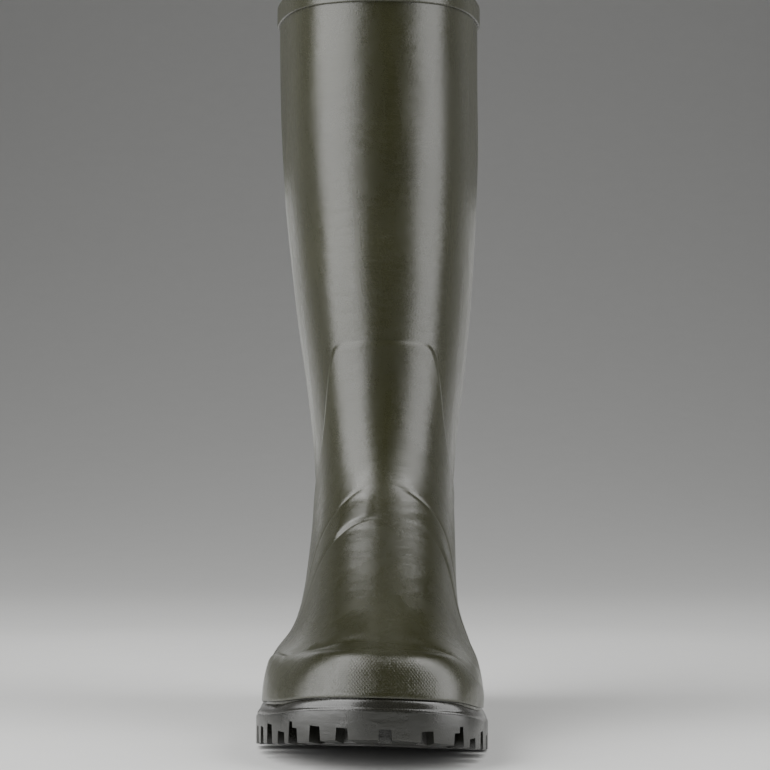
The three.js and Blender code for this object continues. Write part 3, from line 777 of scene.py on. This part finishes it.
def full_depth(points):
    return np.ones(points.shape[:-1])


def layer_mesh(top_of, foot_of, reach, columns, levels, proud_at, top_edge, foot_edge):
    """A sheet on the skin; proud_at gives its height, each edge its width, softness and depth."""
    rows, turns, top_line, foot_line = layer_grid(
        top_of, foot_of, reach, columns, levels, 1.2 * max(top_edge[0], foot_edge[0]))
    points = skin(rows, turns)
    from_top = nearness(points, top_line)
    from_foot = nearness(points, foot_line)
    shape = np.minimum(edge_shape(points, from_top, *top_edge), edge_shape(points, from_foot, *foot_edge))
    proud = proud_at(points, from_top, from_foot)
    outside = surface(rows, turns, -0.05 + (0.05 + proud) * shape)
    return sheet_body(outside, surface(rows, turns, -SUNK))


def back_line_depth(points):
    """The band's back edge: lost on the ridge of the instep, clear at its sides."""
    x = points[..., 0]
    return 0.04 + 0.2 * smoothstep((np.abs(x) - 4) / 9) * (1 - 0.55 * smoothstep((-x - 16) / 8))


def guard_edge_depth(points):
    """The shin guard's edge: nearly lost on the ridge of the shin and clearer on the inner side."""
    x = points[..., 0]
    return 0.35 + 0.35 * smoothstep((x - 4) / 12) + 0.15 * smoothstep((-x - 8) / 10)


def shin_top(angles):
    return row_at(past_shin_edge, angles, top_row=3.5)


def band_back_row(angles):
    return row_at(past_band_back, angles, top_row=5.5)


def guard_height(points, from_top, from_foot):
    return SHIN_PROUD


guard_mesh = layer_mesh(
    shin_top, band_back_row, reach=math.radians(140), columns=360, levels=90, proud_at=guard_height,
    top_edge=(2.8, 0.8, guard_edge_depth), foot_edge=(2.0, 0.6, back_line_depth))
new_piece("shin_guard_sheet", guard_mesh, olive_rubber, "upper_rubber", "shin_guard")

# Instep band
# A strap-like strip over the instep and down both sides to the rand, cured on with the rest. It is a
# little rounded, and its front edge is the higher one.
BAND_HIGH = GAP + 1.5
VAMP_PROUD = GAP + 0.88
CAP_EDGE = table(("across", "rise"), (
    (-0.62, 0.72),
    (-0.54, 0.83),
    (-0.461, 0.875),
    (-0.422, 0.887),
    (-0.378, 0.9),
    (-0.329, 0.926),
    (-0.291, 0.953),
    (-0.247, 0.975),
    (-0.149, 1.03),
    (-0.041, 1.052),
    (0.078, 1.05),
    (0.2, 1.022),
    (0.284, 0.975),
    (0.318, 0.93),
    (0.352, 0.876),
    (0.396, 0.785),
    (0.428, 0.745),
    (0.47, 0.68),
    (0.6, 0.4),
))
CAP_BACK = (-51, -31, 44)  # where the cap's end starts to slope down to the sole on the outer side
CAP_BACK_SLOPE = (-0.436, -0.667)
CAP_END_ROUND = 7  # rounds the corner between the cap's front edge and its ends
cap_corners = np.stack((CAP_EDGE["across"] * BALL_WIDTH, CAP_EDGE["rise"] * TOE_HEIGHT), axis=1)
cap_curve = curve_through(cap_corners, 300)


def past_cap_edge(points):
    """Above 0 over the toe cap's edge as seen from the front, or behind its sloping ends."""
    x, y, z = points[..., 0], points[..., 1], points[..., 2]
    front = z - np.interp(x, cap_curve[:, 0], cap_curve[:, 1])
    slope = CAP_BACK_SLOPE[0] * (x - CAP_BACK[0]) + CAP_BACK_SLOPE[1] * (y - CAP_BACK[1])
    behind = z - CAP_BACK[2] - slope
    return (front + behind + np.hypot(front - behind, CAP_END_ROUND)) / 2


def cap_row(angles):
    return row_at(past_cap_edge, angles, top_row=8.0)


def band_front_row(angles):
    return row_at(lambda points: points[..., 1] - place_of(BAND_FRONT), angles, top_row=6.5)


def band_foot(angles):
    return np.minimum(band_front_row(angles), cap_row(angles))


def front_line(points):
    """How clear the band's front edge is: lost on the ridge of the instep and low on the outer side."""
    x = points[..., 0]
    outer = smoothstep((-x - 2) / 6) * (1 - 0.85 * smoothstep((-x - 19) / 6))
    return outer + 0.6 * smoothstep((x - 24) / 7)


def band_height(points, from_back, from_front):
    """The strip's crown: low at its back edge, highest near its front where that edge is clear."""
    share = from_back / np.maximum(from_back + from_front, 1e-6)
    rise = BAND_HIGH - SHIN_PROUD
    return SHIN_PROUD + rise * smoothstep(share * 1.3) * front_line(points)


def front_line_depth(points):
    return 0.02 + 0.33 * front_line(points)


def band_front_depth(points):
    """Brings the band down to the vamp's edge."""
    edge_height = (1 - front_line_depth(points)) * VAMP_PROUD
    return 1 - edge_height / (SHIN_PROUD + (BAND_HIGH - SHIN_PROUD) * front_line(points))


band_mesh = layer_mesh(
    band_back_row, band_foot, reach=math.radians(100), columns=300, levels=18, proud_at=band_height,
    top_edge=(2.2, 0.7, back_line_depth), foot_edge=(3.2, 0.7, band_front_depth))
new_piece("instep_band_sheet", band_mesh, olive_rubber, "upper_rubber", "instep_band")

# Vamp
# A cover of thin rubber from the instep band down to the toe cap, whose edge laps over it. It is drawn
# tight over the last, and only its joint with the toe cap dips a little.
VAMP_DIP = 0.9
LAP = 0.12  # rows that the vamp runs on under the toe cap


def vamp_foot(angles):
    return np.minimum(cap_row(angles) + LAP, LAYER_FOOT)


def vamp_height(points, from_band, from_cap):
    """Even, with a soft dip along the toe cap that fades out at its sides."""
    over_toes = 0.1 + 0.9 * smoothstep((50 - np.abs(points[..., 0])) / 26)
    dip = VAMP_DIP * over_toes * np.exp(-((from_cap - 3.5) / 5.0) ** 2)
    return VAMP_PROUD - dip * smoothstep(from_band / 12)


vamp_mesh = layer_mesh(
    band_front_row, vamp_foot, reach=math.radians(100), columns=300, levels=90, proud_at=vamp_height,
    top_edge=(1.2, 0.4, front_line_depth), foot_edge=(0.5, 0, full_depth))
new_piece("vamp_sheet", vamp_mesh, olive_rubber, "upper_rubber", "vamp")

# Toe cap
# A thick bumper over the toes and along both sides of the ball. Its upper edge is a rounded shoulder,
# and its face is covered with fine moulded diamonds that stop at its sides.
CAP_PROUD = GAP + 2.0
CAP_SHOULDER = 4.2
CAP_TUCK = 1.2  # how far it draws in above the rand on the inner side
CAP_CORNER = 3.0  # how much thicker the cap is where its top turns down to its face
CAP_FACE = 18  # height of that corner, measured up the face


def layers_foot(angles):
    return np.full_like(angles, LAYER_FOOT)


def cap_height(points, from_edge, from_foot):
    """Fullest at its corner over the toes, and drawn in at its foot on the inner side."""
    over_toes = smoothstep((44 - np.abs(points[..., 0])) / 18) * smoothstep(from_edge / 10)
    full = CAP_CORNER * over_toes * np.exp(-((from_foot - CAP_FACE) / 7.5) ** 2)
    tuck = CAP_TUCK * smoothstep((points[..., 0] - 30) / 12) * smoothstep(1 - from_foot / 11)
    return CAP_PROUD + full - tuck


cap_mesh = layer_mesh(
    cap_row, layers_foot, reach=math.radians(110), columns=360, levels=60, proud_at=cap_height,
    top_edge=(CAP_SHOULDER, 0.6, full_depth), foot_edge=(0.4, 0, full_depth))
new_piece("toe_cap_sheet", cap_mesh, olive_rubber, "upper_rubber", "toe_cap")

# Diamonds of the toe cap
# The mould leaves a field of small, flat-topped diamonds on the cap's face, where a boot scuffs first. They
# are the same rubber as the cap, lowest at the field's edges.
DIAMOND_WIDTH = 1.4
DIAMOND_TALL = 1.66
DIAMOND_HIGH = 0.085
WIDTH_ROW = 13.0  # row on which their width is measured
FIELD_ROW = 11.5  # row just over the field
FIELD_ENDS = (-37, 30)  # across the boot, outer side first
FIELD_TOP = table(("across", "height"), (
    (-40, 9),
    (-34, 12.5),
    (-21, 17),
    (0, 19),
    (13, 18),
    (26, 12),
    (32, 9),
))
foot_angles = np.linspace(-2, 2, 1201)
cap_foot_line = skin(np.full(len(foot_angles), LAYER_FOOT), foot_angles)


def cap_face(rows, turns):
    """Places on the outside of the cap's face, and how far each is above the face's foot."""
    points = skin(rows, turns)
    from_foot = nearness(points, cap_foot_line)
    well_below_edge = 30.0
    return surface(rows, turns, cap_height(points, well_below_edge, from_foot)), from_foot


def diamond_places():
    """Rows and angles of the diamonds: upright columns, each half a diamond up from the one beside it."""
    across = np.radians(np.linspace(-60, 60, 1201))
    walked = walked_along(skin(np.full(len(across), WIDTH_ROW), across))
    walked -= np.interp(0, across, walked)
    columns = np.arange(math.ceil(walked[0] / (DIAMOND_WIDTH / 2)), walked[-1] // (DIAMOND_WIDTH / 2))
    up = np.linspace(LAYER_FOOT, FIELD_ROW, 120)
    rows, turns = [], []
    for column in columns:
        turn = np.interp(column * DIAMOND_WIDTH / 2, walked, across)
        height = walked_along(skin(up, np.full(len(up), turn)))
        places = np.arange(0.5 + column % 2 * 0.5, height[-1] / DIAMOND_TALL) * DIAMOND_TALL
        rows.append(np.interp(places, height, up))
        turns.append(np.full(len(places), turn))
    return np.concatenate(rows), np.concatenate(turns)


def diamond_field():
    """A mesh of loose points, each with the way it faces, the way up the face and how high it stands."""
    rows, turns = diamond_places()
    points, from_foot = cap_face(rows, turns)
    x = points[:, 0]
    room = np.interp(x, FIELD_TOP["across"], FIELD_TOP["height"]) - from_foot
    high = smoothstep(room / 4) * smoothstep((from_foot - 0.6) / 1.6)
    high = high * smoothstep((x - FIELD_ENDS[0]) / 6) * smoothstep((FIELD_ENDS[1] - x) / 6)
    kept = high > 0.12
    rows, turns, points, high = rows[kept], turns[kept], points[kept], high[kept]
    nudge = 0.01
    up = cap_face(rows - nudge, turns)[0] - cap_face(rows + nudge, turns)[0]
    side = cap_face(rows, turns + nudge)[0] - cap_face(rows, turns - nudge)[0]
    out = np.cross(side, up)
    mesh = plain_mesh(points, [])
    for name, vectors in (("out", out), ("up", up)):
        vectors = vectors / np.linalg.norm(vectors, axis=-1, keepdims=True)
        mesh.attributes.new(name, "FLOAT_VECTOR", "POINT").data.foreach_set(
            "vector", vectors.astype(np.float32).ravel())
    mesh.attributes.new("high", "FLOAT", "POINT").data.foreach_set("value", high.astype(np.float32))
    return mesh


def diamond_nodes():
    """Puts a flat-topped diamond on every point, turned the way its face lies, a little uneven in height."""
    tree = bpy.data.node_groups.new("diamond field", "GeometryNodeTree")
    for label, kind in (("Places", "NodeSocketGeometry"), ("Width", "NodeSocketFloat"),
                        ("Tall", "NodeSocketFloat"), ("High", "NodeSocketFloat"),
                        ("Material", "NodeSocketMaterial")):
        tree.interface.new_socket(label, in_out="INPUT", socket_type=kind)
    tree.interface.new_socket("Diamonds", in_out="OUTPUT", socket_type="NodeSocketGeometry")
    given = add_node(tree, "NodeGroupInput").outputs
    out = add_node(tree, "GeometryNodeInputNamedAttribute", {"Name": "out"}, data_type="FLOAT_VECTOR")
    up = add_node(tree, "GeometryNodeInputNamedAttribute", {"Name": "up"}, data_type="FLOAT_VECTOR")
    high = add_node(tree, "GeometryNodeInputNamedAttribute", {"Name": "high"}, data_type="FLOAT")
    facing = add_node(tree, "FunctionNodeAlignRotationToVector", {"Vector": out.outputs[0]}, axis="Z")
    turned = add_node(tree, "FunctionNodeAlignRotationToVector", {
        "Rotation": facing.outputs[0], "Vector": up.outputs[0]}, axis="Y", pivot_axis="Z")
    diamond = add_node(tree, "GeometryNodeMeshCone", {
        "Vertices": 4, "Radius Top": 0.25, "Radius Bottom": 1.0, "Depth": 1.0})
    uneven = add_node(tree, "FunctionNodeRandomValue", {2: 0.75, 3: 1.1, "Seed": 7}, data_type="FLOAT")
    height = reckon(tree, "MULTIPLY", high.outputs[0], given["High"])
    height = reckon(tree, "MULTIPLY", height, uneven.outputs[1])
    size = add_node(tree, "ShaderNodeCombineXYZ", {"X": given["Width"], "Y": given["Tall"], "Z": height})
    placed = add_node(tree, "GeometryNodeInstanceOnPoints", {
        "Points": given["Places"], "Instance": diamond.outputs["Mesh"],
        "Rotation": turned.outputs[0], "Scale": size.outputs[0]})
    whole = add_node(tree, "GeometryNodeRealizeInstances", {"Geometry": placed.outputs[0]})
    coated = add_node(tree, "GeometryNodeSetMaterial", {
        "Geometry": whole.outputs[0], "Material": given["Material"]})
    add_node(tree, "NodeGroupOutput", {"Diamonds": coated.outputs[0]})
    return tree


def worked_mesh(thing):
    """An object's mesh as its modifiers leave it."""
    evaluated = thing.evaluated_get(bpy.context.evaluated_depsgraph_get())
    return bpy.data.meshes.new_from_object(evaluated)


def diamond_mesh():
    """The field of diamonds as a plain mesh."""
    field = in_scene("diamond field", diamond_field())
    maker = field.modifiers.new("diamonds", "NODES")
    maker.node_group = diamond_nodes()
    sizes = {"Width": 0.48 * DIAMOND_WIDTH * MM, "Tall": 0.48 * DIAMOND_TALL * MM, "High": DIAMOND_HIGH * MM,
             "Material": olive_rubber}
    for socket in maker.node_group.interface.items_tree:
        if socket.name in sizes:
            maker[socket.identifier] = sizes[socket.name]
    mesh = worked_mesh(field)
    bpy.data.objects.remove(field)
    return mesh


new_piece("toe_cap_diamonds", diamond_mesh(), olive_rubber, "upper_rubber", "toe_cap", sharp=10)

# Outsole
# One moulded unit of harder, greyer rubber: a seat for the upper, a raised toe and waist, a heel, and
# lugs on the tread with notches between them at the edge. It is cured to the upper under the rand.
TOE_SPRING = 15.6
WAIST_CLEARANCE = 12
HEEL_FRONT = 0.303
TREAD_BACK = 0.53
LUG_DEPTH = 5
LUG_PITCH = 19.3
GROOVE = 5.4
EDGE_LUG_LENGTH = 15
SIDE_NOTCH = 8
TOE_NOTCH_REACH = 10  # how far the notches round the toe go in
NOTCH_FLARE = 0.08  # how much a notch widens towards the floor, on each side
SOLE_ROUND = 0.5  # rounding of the sole's edges
BELOW, ABOVE, BESIDE = -20, 60, 90  # planes well clear of the sole, where cutting shapes end
TREAD = table(("along", "toe", "waist"), (
    (HEEL_FRONT, 0, 1),
    (0.35, 0, 0.95),
    (0.41, 0, 0.72),
    (0.47, 0, 0.25),
    (0.516, 0, 0),
    (0.63, 0, 0),
    (0.7, 0.06, 0),
    (0.747, 0.17, 0),
    (0.812, 0.33, 0),
    (0.878, 0.49, 0),
    (0.944, 0.71, 0),
    (1, 1, 0),
))
# Notches round the toe: degrees from the toe, height above the tread, and that of the deeper slit at the
# rear end of some of them
TOE_NOTCHES = table(("angle", "height", "slit"), (
    (-54, 8, 0),
    (-47.6, 7.8, 0),
    (-41.4, 9.1, 0),
    (-34.9, 5.5, 0),
    (-29.5, 7, 9.7),
    (-21.1, 7, 0),
    (-12, 5.4, 0),
    (1, 4.7, 0),
    (11.7, 4.9, 0),
    (22.5, 5.9, 8.6),
    (29.9, 4.5, 0),
    (38.6, 8.4, 0),
    (48.5, 7, 0),
    (58, 8, 0),
))
tread_rise = spline(TREAD["along"], TREAD["toe"] * TOE_SPRING + TREAD["waist"] * WAIST_CLEARANCE)
breast_y = place_of(HEEL_FRONT)


def tread_height(y):
    """Tread above the floor, level under the ball and the heel."""
    along = along_of(y)
    return np.where(y > breast_y, 0, np.maximum(0, tread_rise(np.minimum(along, 1))))


def raised(plan, height):
    """Places in plan, put at a height."""
    return np.concatenate((plan, np.broadcast_to(height, plan.shape[:-1])[..., None]), axis=-1)


def sole_blank():
    """The unit before its tread is cut, from strips across it."""
    half_turns = np.linspace(0, math.pi, 361)
    breast_turn = math.acos(-breast_y / HEEL_Y)
    turns = np.sort(np.concatenate((half_turns, (breast_turn - 1e-4, breast_turn + 1e-4))))
    outer = sole_edge(-turns)
    inner = sole_edge(turns)
    near = np.array((0, 0.15, 0.5))  # close to the edge, where it is rounded
    lines = []
    for start, end in zip(outer, inner):
        width = max(np.linalg.norm(end - start), 1e-9)
        shares = np.minimum(near / width, 0.02)
        lines.append(np.concatenate((shares, (0.5,), 1 - shares[::-1])))
    shares = np.array(lines)[..., None]
    plan = outer[:, None] * (1 - shares) + inner[:, None] * shares
    edge = np.concatenate((outer, inner[::-1]))
    drop = SOLE_ROUND * (1 - rounded(nearness(raised(plan, 0), raised(edge, 0)), SOLE_ROUND))
    y = plan[..., 1]
    return sheet_body(raised(plan, seat_height(y) - drop), raised(plan, tread_height(y) + drop))


def prism(outline, axis, low, high):
    """A flat outline carried along an axis from one place to another."""
    count = len(outline)
    points = np.concatenate([np.insert(outline, axis, place, axis=1) for place in (low, high)])
    sides = [(i, (i + 1) % count, count + (i + 1) % count, count + i) for i in range(count)]
    return plain_mesh(points, [*sides, tuple(range(count))[::-1], tuple(range(count, 2 * count))])


def joined(*meshes):
    """Meshes that don't touch, as one, facing outwards."""
    form = bmesh.new()
    for mesh in meshes:
        form.from_mesh(mesh)
        bpy.data.meshes.remove(mesh)
    bmesh.ops.recalc_face_normals(form, faces=form.faces)
    whole = bpy.data.meshes.new("whole")
    form.to_mesh(whole)
    form.free()
    return whole


def carve(mesh, tool, operation="DIFFERENCE"):
    """One mesh cut by another."""
    body = in_scene("body", mesh)
    cutter = in_scene("cutter", tool)
    cut = body.modifiers.new("cut", "BOOLEAN")
    cut.operation = operation
    cut.solver = "MANIFOLD"
    cut.object = cutter
    result = worked_mesh(body)
    for piece in (body, cutter):
        bpy.data.objects.remove(piece)
    return result


def edge_places(start, end, first=0.0):
    """Angles one lug pitch apart along the sole's edge, from one angle towards another."""
    angles = np.arange(start, end, math.copysign(math.radians(0.25), end - start))
    walked = walked_along(sole_edge(angles))
    return np.interp(np.arange(first, walked[-1], LUG_PITCH), walked, angles)


def notches():
    """All the notches of the sole's edge: the measured ones at the toe, and even ones behind them."""
    found = []
    for angle, height, slit in zip(*(TOE_NOTCHES[name] for name in TOE_NOTCHES)):
        found.append(notch(math.radians(angle), height, reach=TOE_NOTCH_REACH))
        if slit:
            found.append(notch(math.radians(angle), slit, start=0.1, end=0.48, reach=TOE_NOTCH_REACH))
    forefoot_end = math.acos(-place_of(TREAD_BACK) / HEEL_Y)
    heel_end = math.acos(-(breast_y + EDGE_LUG_LENGTH) / HEEL_Y)
    last = np.radians(TOE_NOTCHES["angle"][[0, -1]])
    turns = np.concatenate([
        *(edge_places(turn, math.copysign(forefoot_end, turn), LUG_PITCH) for turn in last),
        edge_places(-math.pi, -heel_end),
        edge_places(math.pi, heel_end, LUG_PITCH),
    ])
    return found + [notch(turn) for turn in turns]


def notch(angle, height=SIDE_NOTCH, start=-0.5, end=0.5, reach=EDGE_LUG_LENGTH + GROOVE / 2):
    """The space between two edge lugs, open below and outside; start and end are shares of its width."""
    rim = sole_edge(np.array(angle), -GROOVE)
    inner = sole_edge(np.array(angle), reach)
    along = (inner - rim) / np.linalg.norm(inner - rim)
    side = np.array((along[1], -along[0])) * GROOVE * math.copysign(1, angle)
    tread = float(tread_height(sole_edge(np.array(angle))[1]))
    corners = np.array((rim + side * start, inner + side * start, inner + side * end, rim + side * end))
    space = prism(corners, 2, BELOW, tread + height)
    flare = NOTCH_FLARE * (tread + height - BELOW) * MM
    for vertex in space.vertices[:4]:
        away = 1 if vertex.index in (2, 3) else -1
        vertex.co.x += away * flare * side[0] / GROOVE
        vertex.co.y += away * flare * side[1] / GROOVE
    return joined(space)


def under_tread(front_y, back_y):
    """The space within a lug's depth of the tread, between two places."""
    y = np.linspace(front_y, back_y, 40)
    top = np.stack((y, tread_height(y) + LUG_DEPTH), axis=1)
    return joined(prism(np.concatenate((top, ((back_y, BELOW), (front_y, BELOW)))), 0, -BESIDE, BESIDE))


def slab(front_y, back_y):
    corners = ((-BESIDE, front_y), (BESIDE, front_y), (BESIDE, back_y), (-BESIDE, back_y))
    return prism(np.array(corners), 2, BELOW, ABOVE)


def inner_grooves(front_y, back_y):
    """Grooves inside the edge lugs: a channel round them, and bars across."""
    edge = sole_edge(round_angles(288), EDGE_LUG_LENGTH)
    inner = sole_edge(round_angles(288), EDGE_LUG_LENGTH + GROOVE)
    under = under_tread(front_y - GROOVE, back_y + GROOVE)
    field = carve(joined(prism(edge, 2, BELOW, ABOVE)), under, "INTERSECT")
    core = carve(joined(prism(inner, 2, BELOW - 10, ABOVE + 10)), joined(slab(front_y, back_y)), "INTERSECT")
    bars = [slab(y - GROOVE / 2, y + GROOVE / 2)
            for y in np.arange(front_y + LUG_PITCH, back_y - LUG_PITCH / 2, LUG_PITCH)]
    crossing = carve(field.copy(), joined(*bars), "INTERSECT")
    return carve(field, core), crossing


def outsole_mesh():
    """The blank with its notches and grooves cut."""
    sole = sole_blank()
    for space in notches():
        sole = carve(sole, space)
    fields = (
        (TOE_Y + EDGE_LUG_LENGTH + GROOVE, place_of(TREAD_BACK)),
        (breast_y + EDGE_LUG_LENGTH, HEEL_Y - EDGE_LUG_LENGTH - GROOVE),
    )
    for front_y, back_y in fields:
        for groove in inner_grooves(front_y, back_y):
            sole = carve(sole, groove)
    return sole


grey_rubber = rubber(
    "sole rubber", dark=(0.0075, 0.0077, 0.0052), light=(0.0115, 0.0118, 0.008),
    gloss=0.19, dull=0.28, grain_size=0.5, grain_depth=0.06, coat=0.0)
new_piece("outsole_unit", outsole_mesh(), grey_rubber, "sole_rubber", "outsole", sharp=30)

# Insole
# A loose footbed of felt on foam, cut to the inside of the boot. It follows the seat of the sole, and
# its edge is pressed round.
INSOLE_THICK = 4
INSOLE_INSET = 3.0
INSOLE_ROUND = 1.5


def insole_mesh():
    """Strips across the footbed, with rounded edges on top."""
    turns = np.linspace(0, math.pi, 121)
    outer = surface(SOLE_ROW, -turns, -INSOLE_INSET, 0)[:, :2]
    inner = surface(SOLE_ROW, turns, -INSOLE_INSET, 0)[:, :2]
    shares = (0.5 - 0.5 * np.cos(np.linspace(0, math.pi, 33)))[None, :, None]
    plan = outer[:, None] * (1 - shares) + inner[:, None] * shares
    flat = raised(plan, 0)
    edge = np.concatenate((flat[:, 0], flat[::-1, -1]))
    fine = np.concatenate([np.linspace(a, b, 6)[:-1] for a, b in zip(edge[:-1], edge[1:])])
    drop = INSOLE_ROUND * (1 - rounded(nearness(flat, fine), INSOLE_ROUND))
    under = seat_height(plan[..., 1]) + GAP
    return sheet_body(raised(plan, under + INSOLE_THICK - drop), raised(plan, under))


def felt(name):
    """Pressed felt: fibres as fine noise, dull and a little uneven."""
    material, tree, shader = new_material(name)
    place = add_node(tree, "ShaderNodeTexCoord").outputs["Object"]
    fibre = noise(tree, place, 900.0, 5.0, roughness=0.75, distortion=1.5)
    bump = add_node(tree, "ShaderNodeBump", {"Height": fibre, "Distance": 0.4 * MM})
    set_inputs(tree, shader, {
        "Base Color": blend(tree, fibre, (0.1, 0.095, 0.075), (0.19, 0.18, 0.15)),
        "Normal": bump.outputs[0],
        "Roughness": 0.97,
    })
    return material


new_piece("insole_felt", insole_mesh(), felt("grey felt"), "footbed", "insole")

# Rand
# A bead of glossier rubber in the corner between foot and sole. It is round over the toe and flattens
# into a sloping ledge along the sides, and it seals the joint.
TOE_SETBACK = 0.9  # from the sole's edge to the bead
SIDE_SETBACK = 0.54
TOE_REACH = 1  # how far round from the toe the first of them holds, in radians
# Two sections of the bead, from the foot's wall out to the sole's edge: share of the way, and height
TOE_BEAD = curve_through((
    (0, 5.5), (0.14, 5.85), (0.32, 5.75), (0.48, 5.25), (0.61, 4.3), (0.68, 3.1), (0.71, 2.1), (0.76, 1.5),
    (0.85, 1.35), (0.94, 1.25), (0.99, 0.8), (1, 0)), 40)
SIDE_BEAD = curve_through((
    (0, 5.2), (0.12, 5.05), (0.26, 4.7), (0.42, 4.2), (0.57, 3.6), (0.7, 3.05), (0.8, 2.6), (0.88, 2.15),
    (0.94, 1.7), (0.98, 1.2), (1, 0.6), (1, 0)), 40)
BEAD_END = (-34, 26)  # degrees from the toe where the round bead runs out
RAND_SUNK = 0.1  # how far its underside lies in the sole
RAND_ROUNDS = 480


def rand_mesh():
    """The bead's section, carried round the boot."""
    angles = round_angles(RAND_ROUNDS)
    top = surface(RAND_ROW, angles, -GAP, 0)
    foot = surface(SOLE_ROW, angles, -GAP, 0)
    edge = sole_edge(angles, np.where(np.abs(angles) < TOE_REACH, TOE_SETBACK, SIDE_SETBACK))
    end = np.radians(np.where(angles < 0, -BEAD_END[0], BEAD_END[1]))
    bead = smoothstep((end - np.abs(angles)) / 0.2 + 0.5)[:, None, None]
    section = bead * TOE_BEAD[None] + (1 - bead) * SIDE_BEAD[None]
    share = section[..., :1]
    plan = top[:, None, :2] * (1 - share) + edge[:, None] * share
    body = raised(plan, seat_height(plan[..., 1]) - RAND_SUNK + section[..., 1])
    sunk = raised(foot[:, None, :2], seat_height(foot[:, None, 1]) - RAND_SUNK)
    return ring_mesh(np.concatenate((body, sunk), axis=1))


rand_rubber = rubber(
    "rand rubber", dark=(0.011, 0.0107, 0.0078), light=(0.016, 0.0156, 0.0112),
    gloss=0.18, dull=0.24, grain_size=0.6, grain_depth=0.03, coat=0.2)
new_piece("rand_bead", rand_mesh(), rand_rubber, "sole_rubber", "rand")

# Studio
# A pale floor that curves up far behind the boot. On each side stand a tall soft box in front, one over
# the instep, a wide dim one behind and a small low one at the rear. The camera looks level at the boot.
CAMERA_Y = -1267
CAMERA_HEIGHT = 160.3
FOCAL_PIXELS = 2506
PICTURE = 770
HORIZON_ROW = 415
MIDDLE_COLUMN = 381
SENSOR = 36


def plain_surface(name, colour, roughness):
    material, tree, shader = new_material(name)
    place = add_node(tree, "ShaderNodeTexCoord").outputs["Object"]
    speck = noise(tree, place, 40.0, 3.0)
    set_inputs(tree, shader, {
        "Base Color": blend(tree, speck, colour, [0.96 * part for part in colour]),
        "Roughness": roughness,
    })
    return material


def floor_mesh():
    """A floor that turns up far behind the boot, as high as the picture needs."""
    bend = np.radians(np.linspace(0, 54, 28))
    radius, depth = 3.0, 1.0
    profile = [(-3.0, 0.0), *[(depth + radius * math.sin(b), radius * (1 - math.cos(b))) for b in bend]]
    points = [(x, y, z) for y, z in profile for x in (-4.0, 4.0)]
    mesh = bpy.data.meshes.new("floor")
    mesh.from_pydata(points, [], [(2 * i, 2 * i + 1, 2 * i + 3, 2 * i + 2) for i in range(len(profile) - 1)])
    mesh.shade_smooth()
    return mesh


floor = in_scene("floor", floor_mesh())
floor.data.materials.append(plain_surface("pale floor", (0.7, 0.7, 0.685), 0.7))


# Degrees from the camera's side with plus to its right, distance, height, height of the place it faces,
# its own width and height, and its radiance
SOFT_BOXES = (
    ("left box", -62, 0.95, 1.17, 1.17, 1.2, 2.3, 4.8),
    ("right box", 70, 0.95, 1.17, 1.17, 0.86, 2.3, 3.8),
    ("left top", -92, 0.5, 1.13, 0.12, 0.5, 0.54, 4.4),
    ("right top", 88, 0.54, 1.11, 0.12, 0.48, 0.46, 4.0),
    ("left fill", -128, 1.3, 0.42, 0.3, 1.3, 0.84, 0.27),
    ("right fill", 128, 1.3, 0.42, 0.3, 1.3, 0.84, 0.24),
    ("left rear", -162, 0.6, 0.22, 0.06, 0.16, 0.2, 0.8),
    ("right rear", 160, 0.6, 0.21, 0.06, 0.16, 0.2, 0.55),
)


def soft_box(name, turn, distance, height, aim, width, tall, radiance):
    """A lit diffuser that faces the boot."""
    light = bpy.data.lights.new(name, "AREA")
    light.shape = "RECTANGLE"
    light.size, light.size_y = width, tall
    light.energy = radiance * math.pi * width * tall
    lamp = in_scene(name, light)
    turn = math.radians(turn)
    lamp.location = (distance * math.sin(turn), -distance * math.cos(turn), height)
    tilt = math.atan2(height - aim, distance)
    lamp.rotation_euler = (math.pi / 2 - tilt, 0, turn)
    lamp.visible_camera = False


for box in SOFT_BOXES:
    soft_box(*box)

world = bpy.data.worlds.new("studio")
world.use_nodes = True
world.node_tree.nodes["Background"].inputs["Color"].default_value = (0.9, 0.92, 0.95, 1)
world.node_tree.nodes["Background"].inputs["Strength"].default_value = 0.02
bpy.context.scene.world = world

camera_data = bpy.data.cameras.new("camera")
camera_data.sensor_width = SENSOR
camera_data.lens = FOCAL_PIXELS / PICTURE * SENSOR
camera_data.shift_x = (PICTURE / 2 - MIDDLE_COLUMN) / PICTURE
camera_data.shift_y = (HORIZON_ROW - PICTURE / 2) / PICTURE
camera_data.clip_end = 20
camera = in_scene("camera", camera_data)
camera.location = (shift_x * MM, CAMERA_Y * MM, CAMERA_HEIGHT * MM)
camera.rotation_euler = (math.pi / 2, 0, 0)
bpy.context.scene.camera = camera
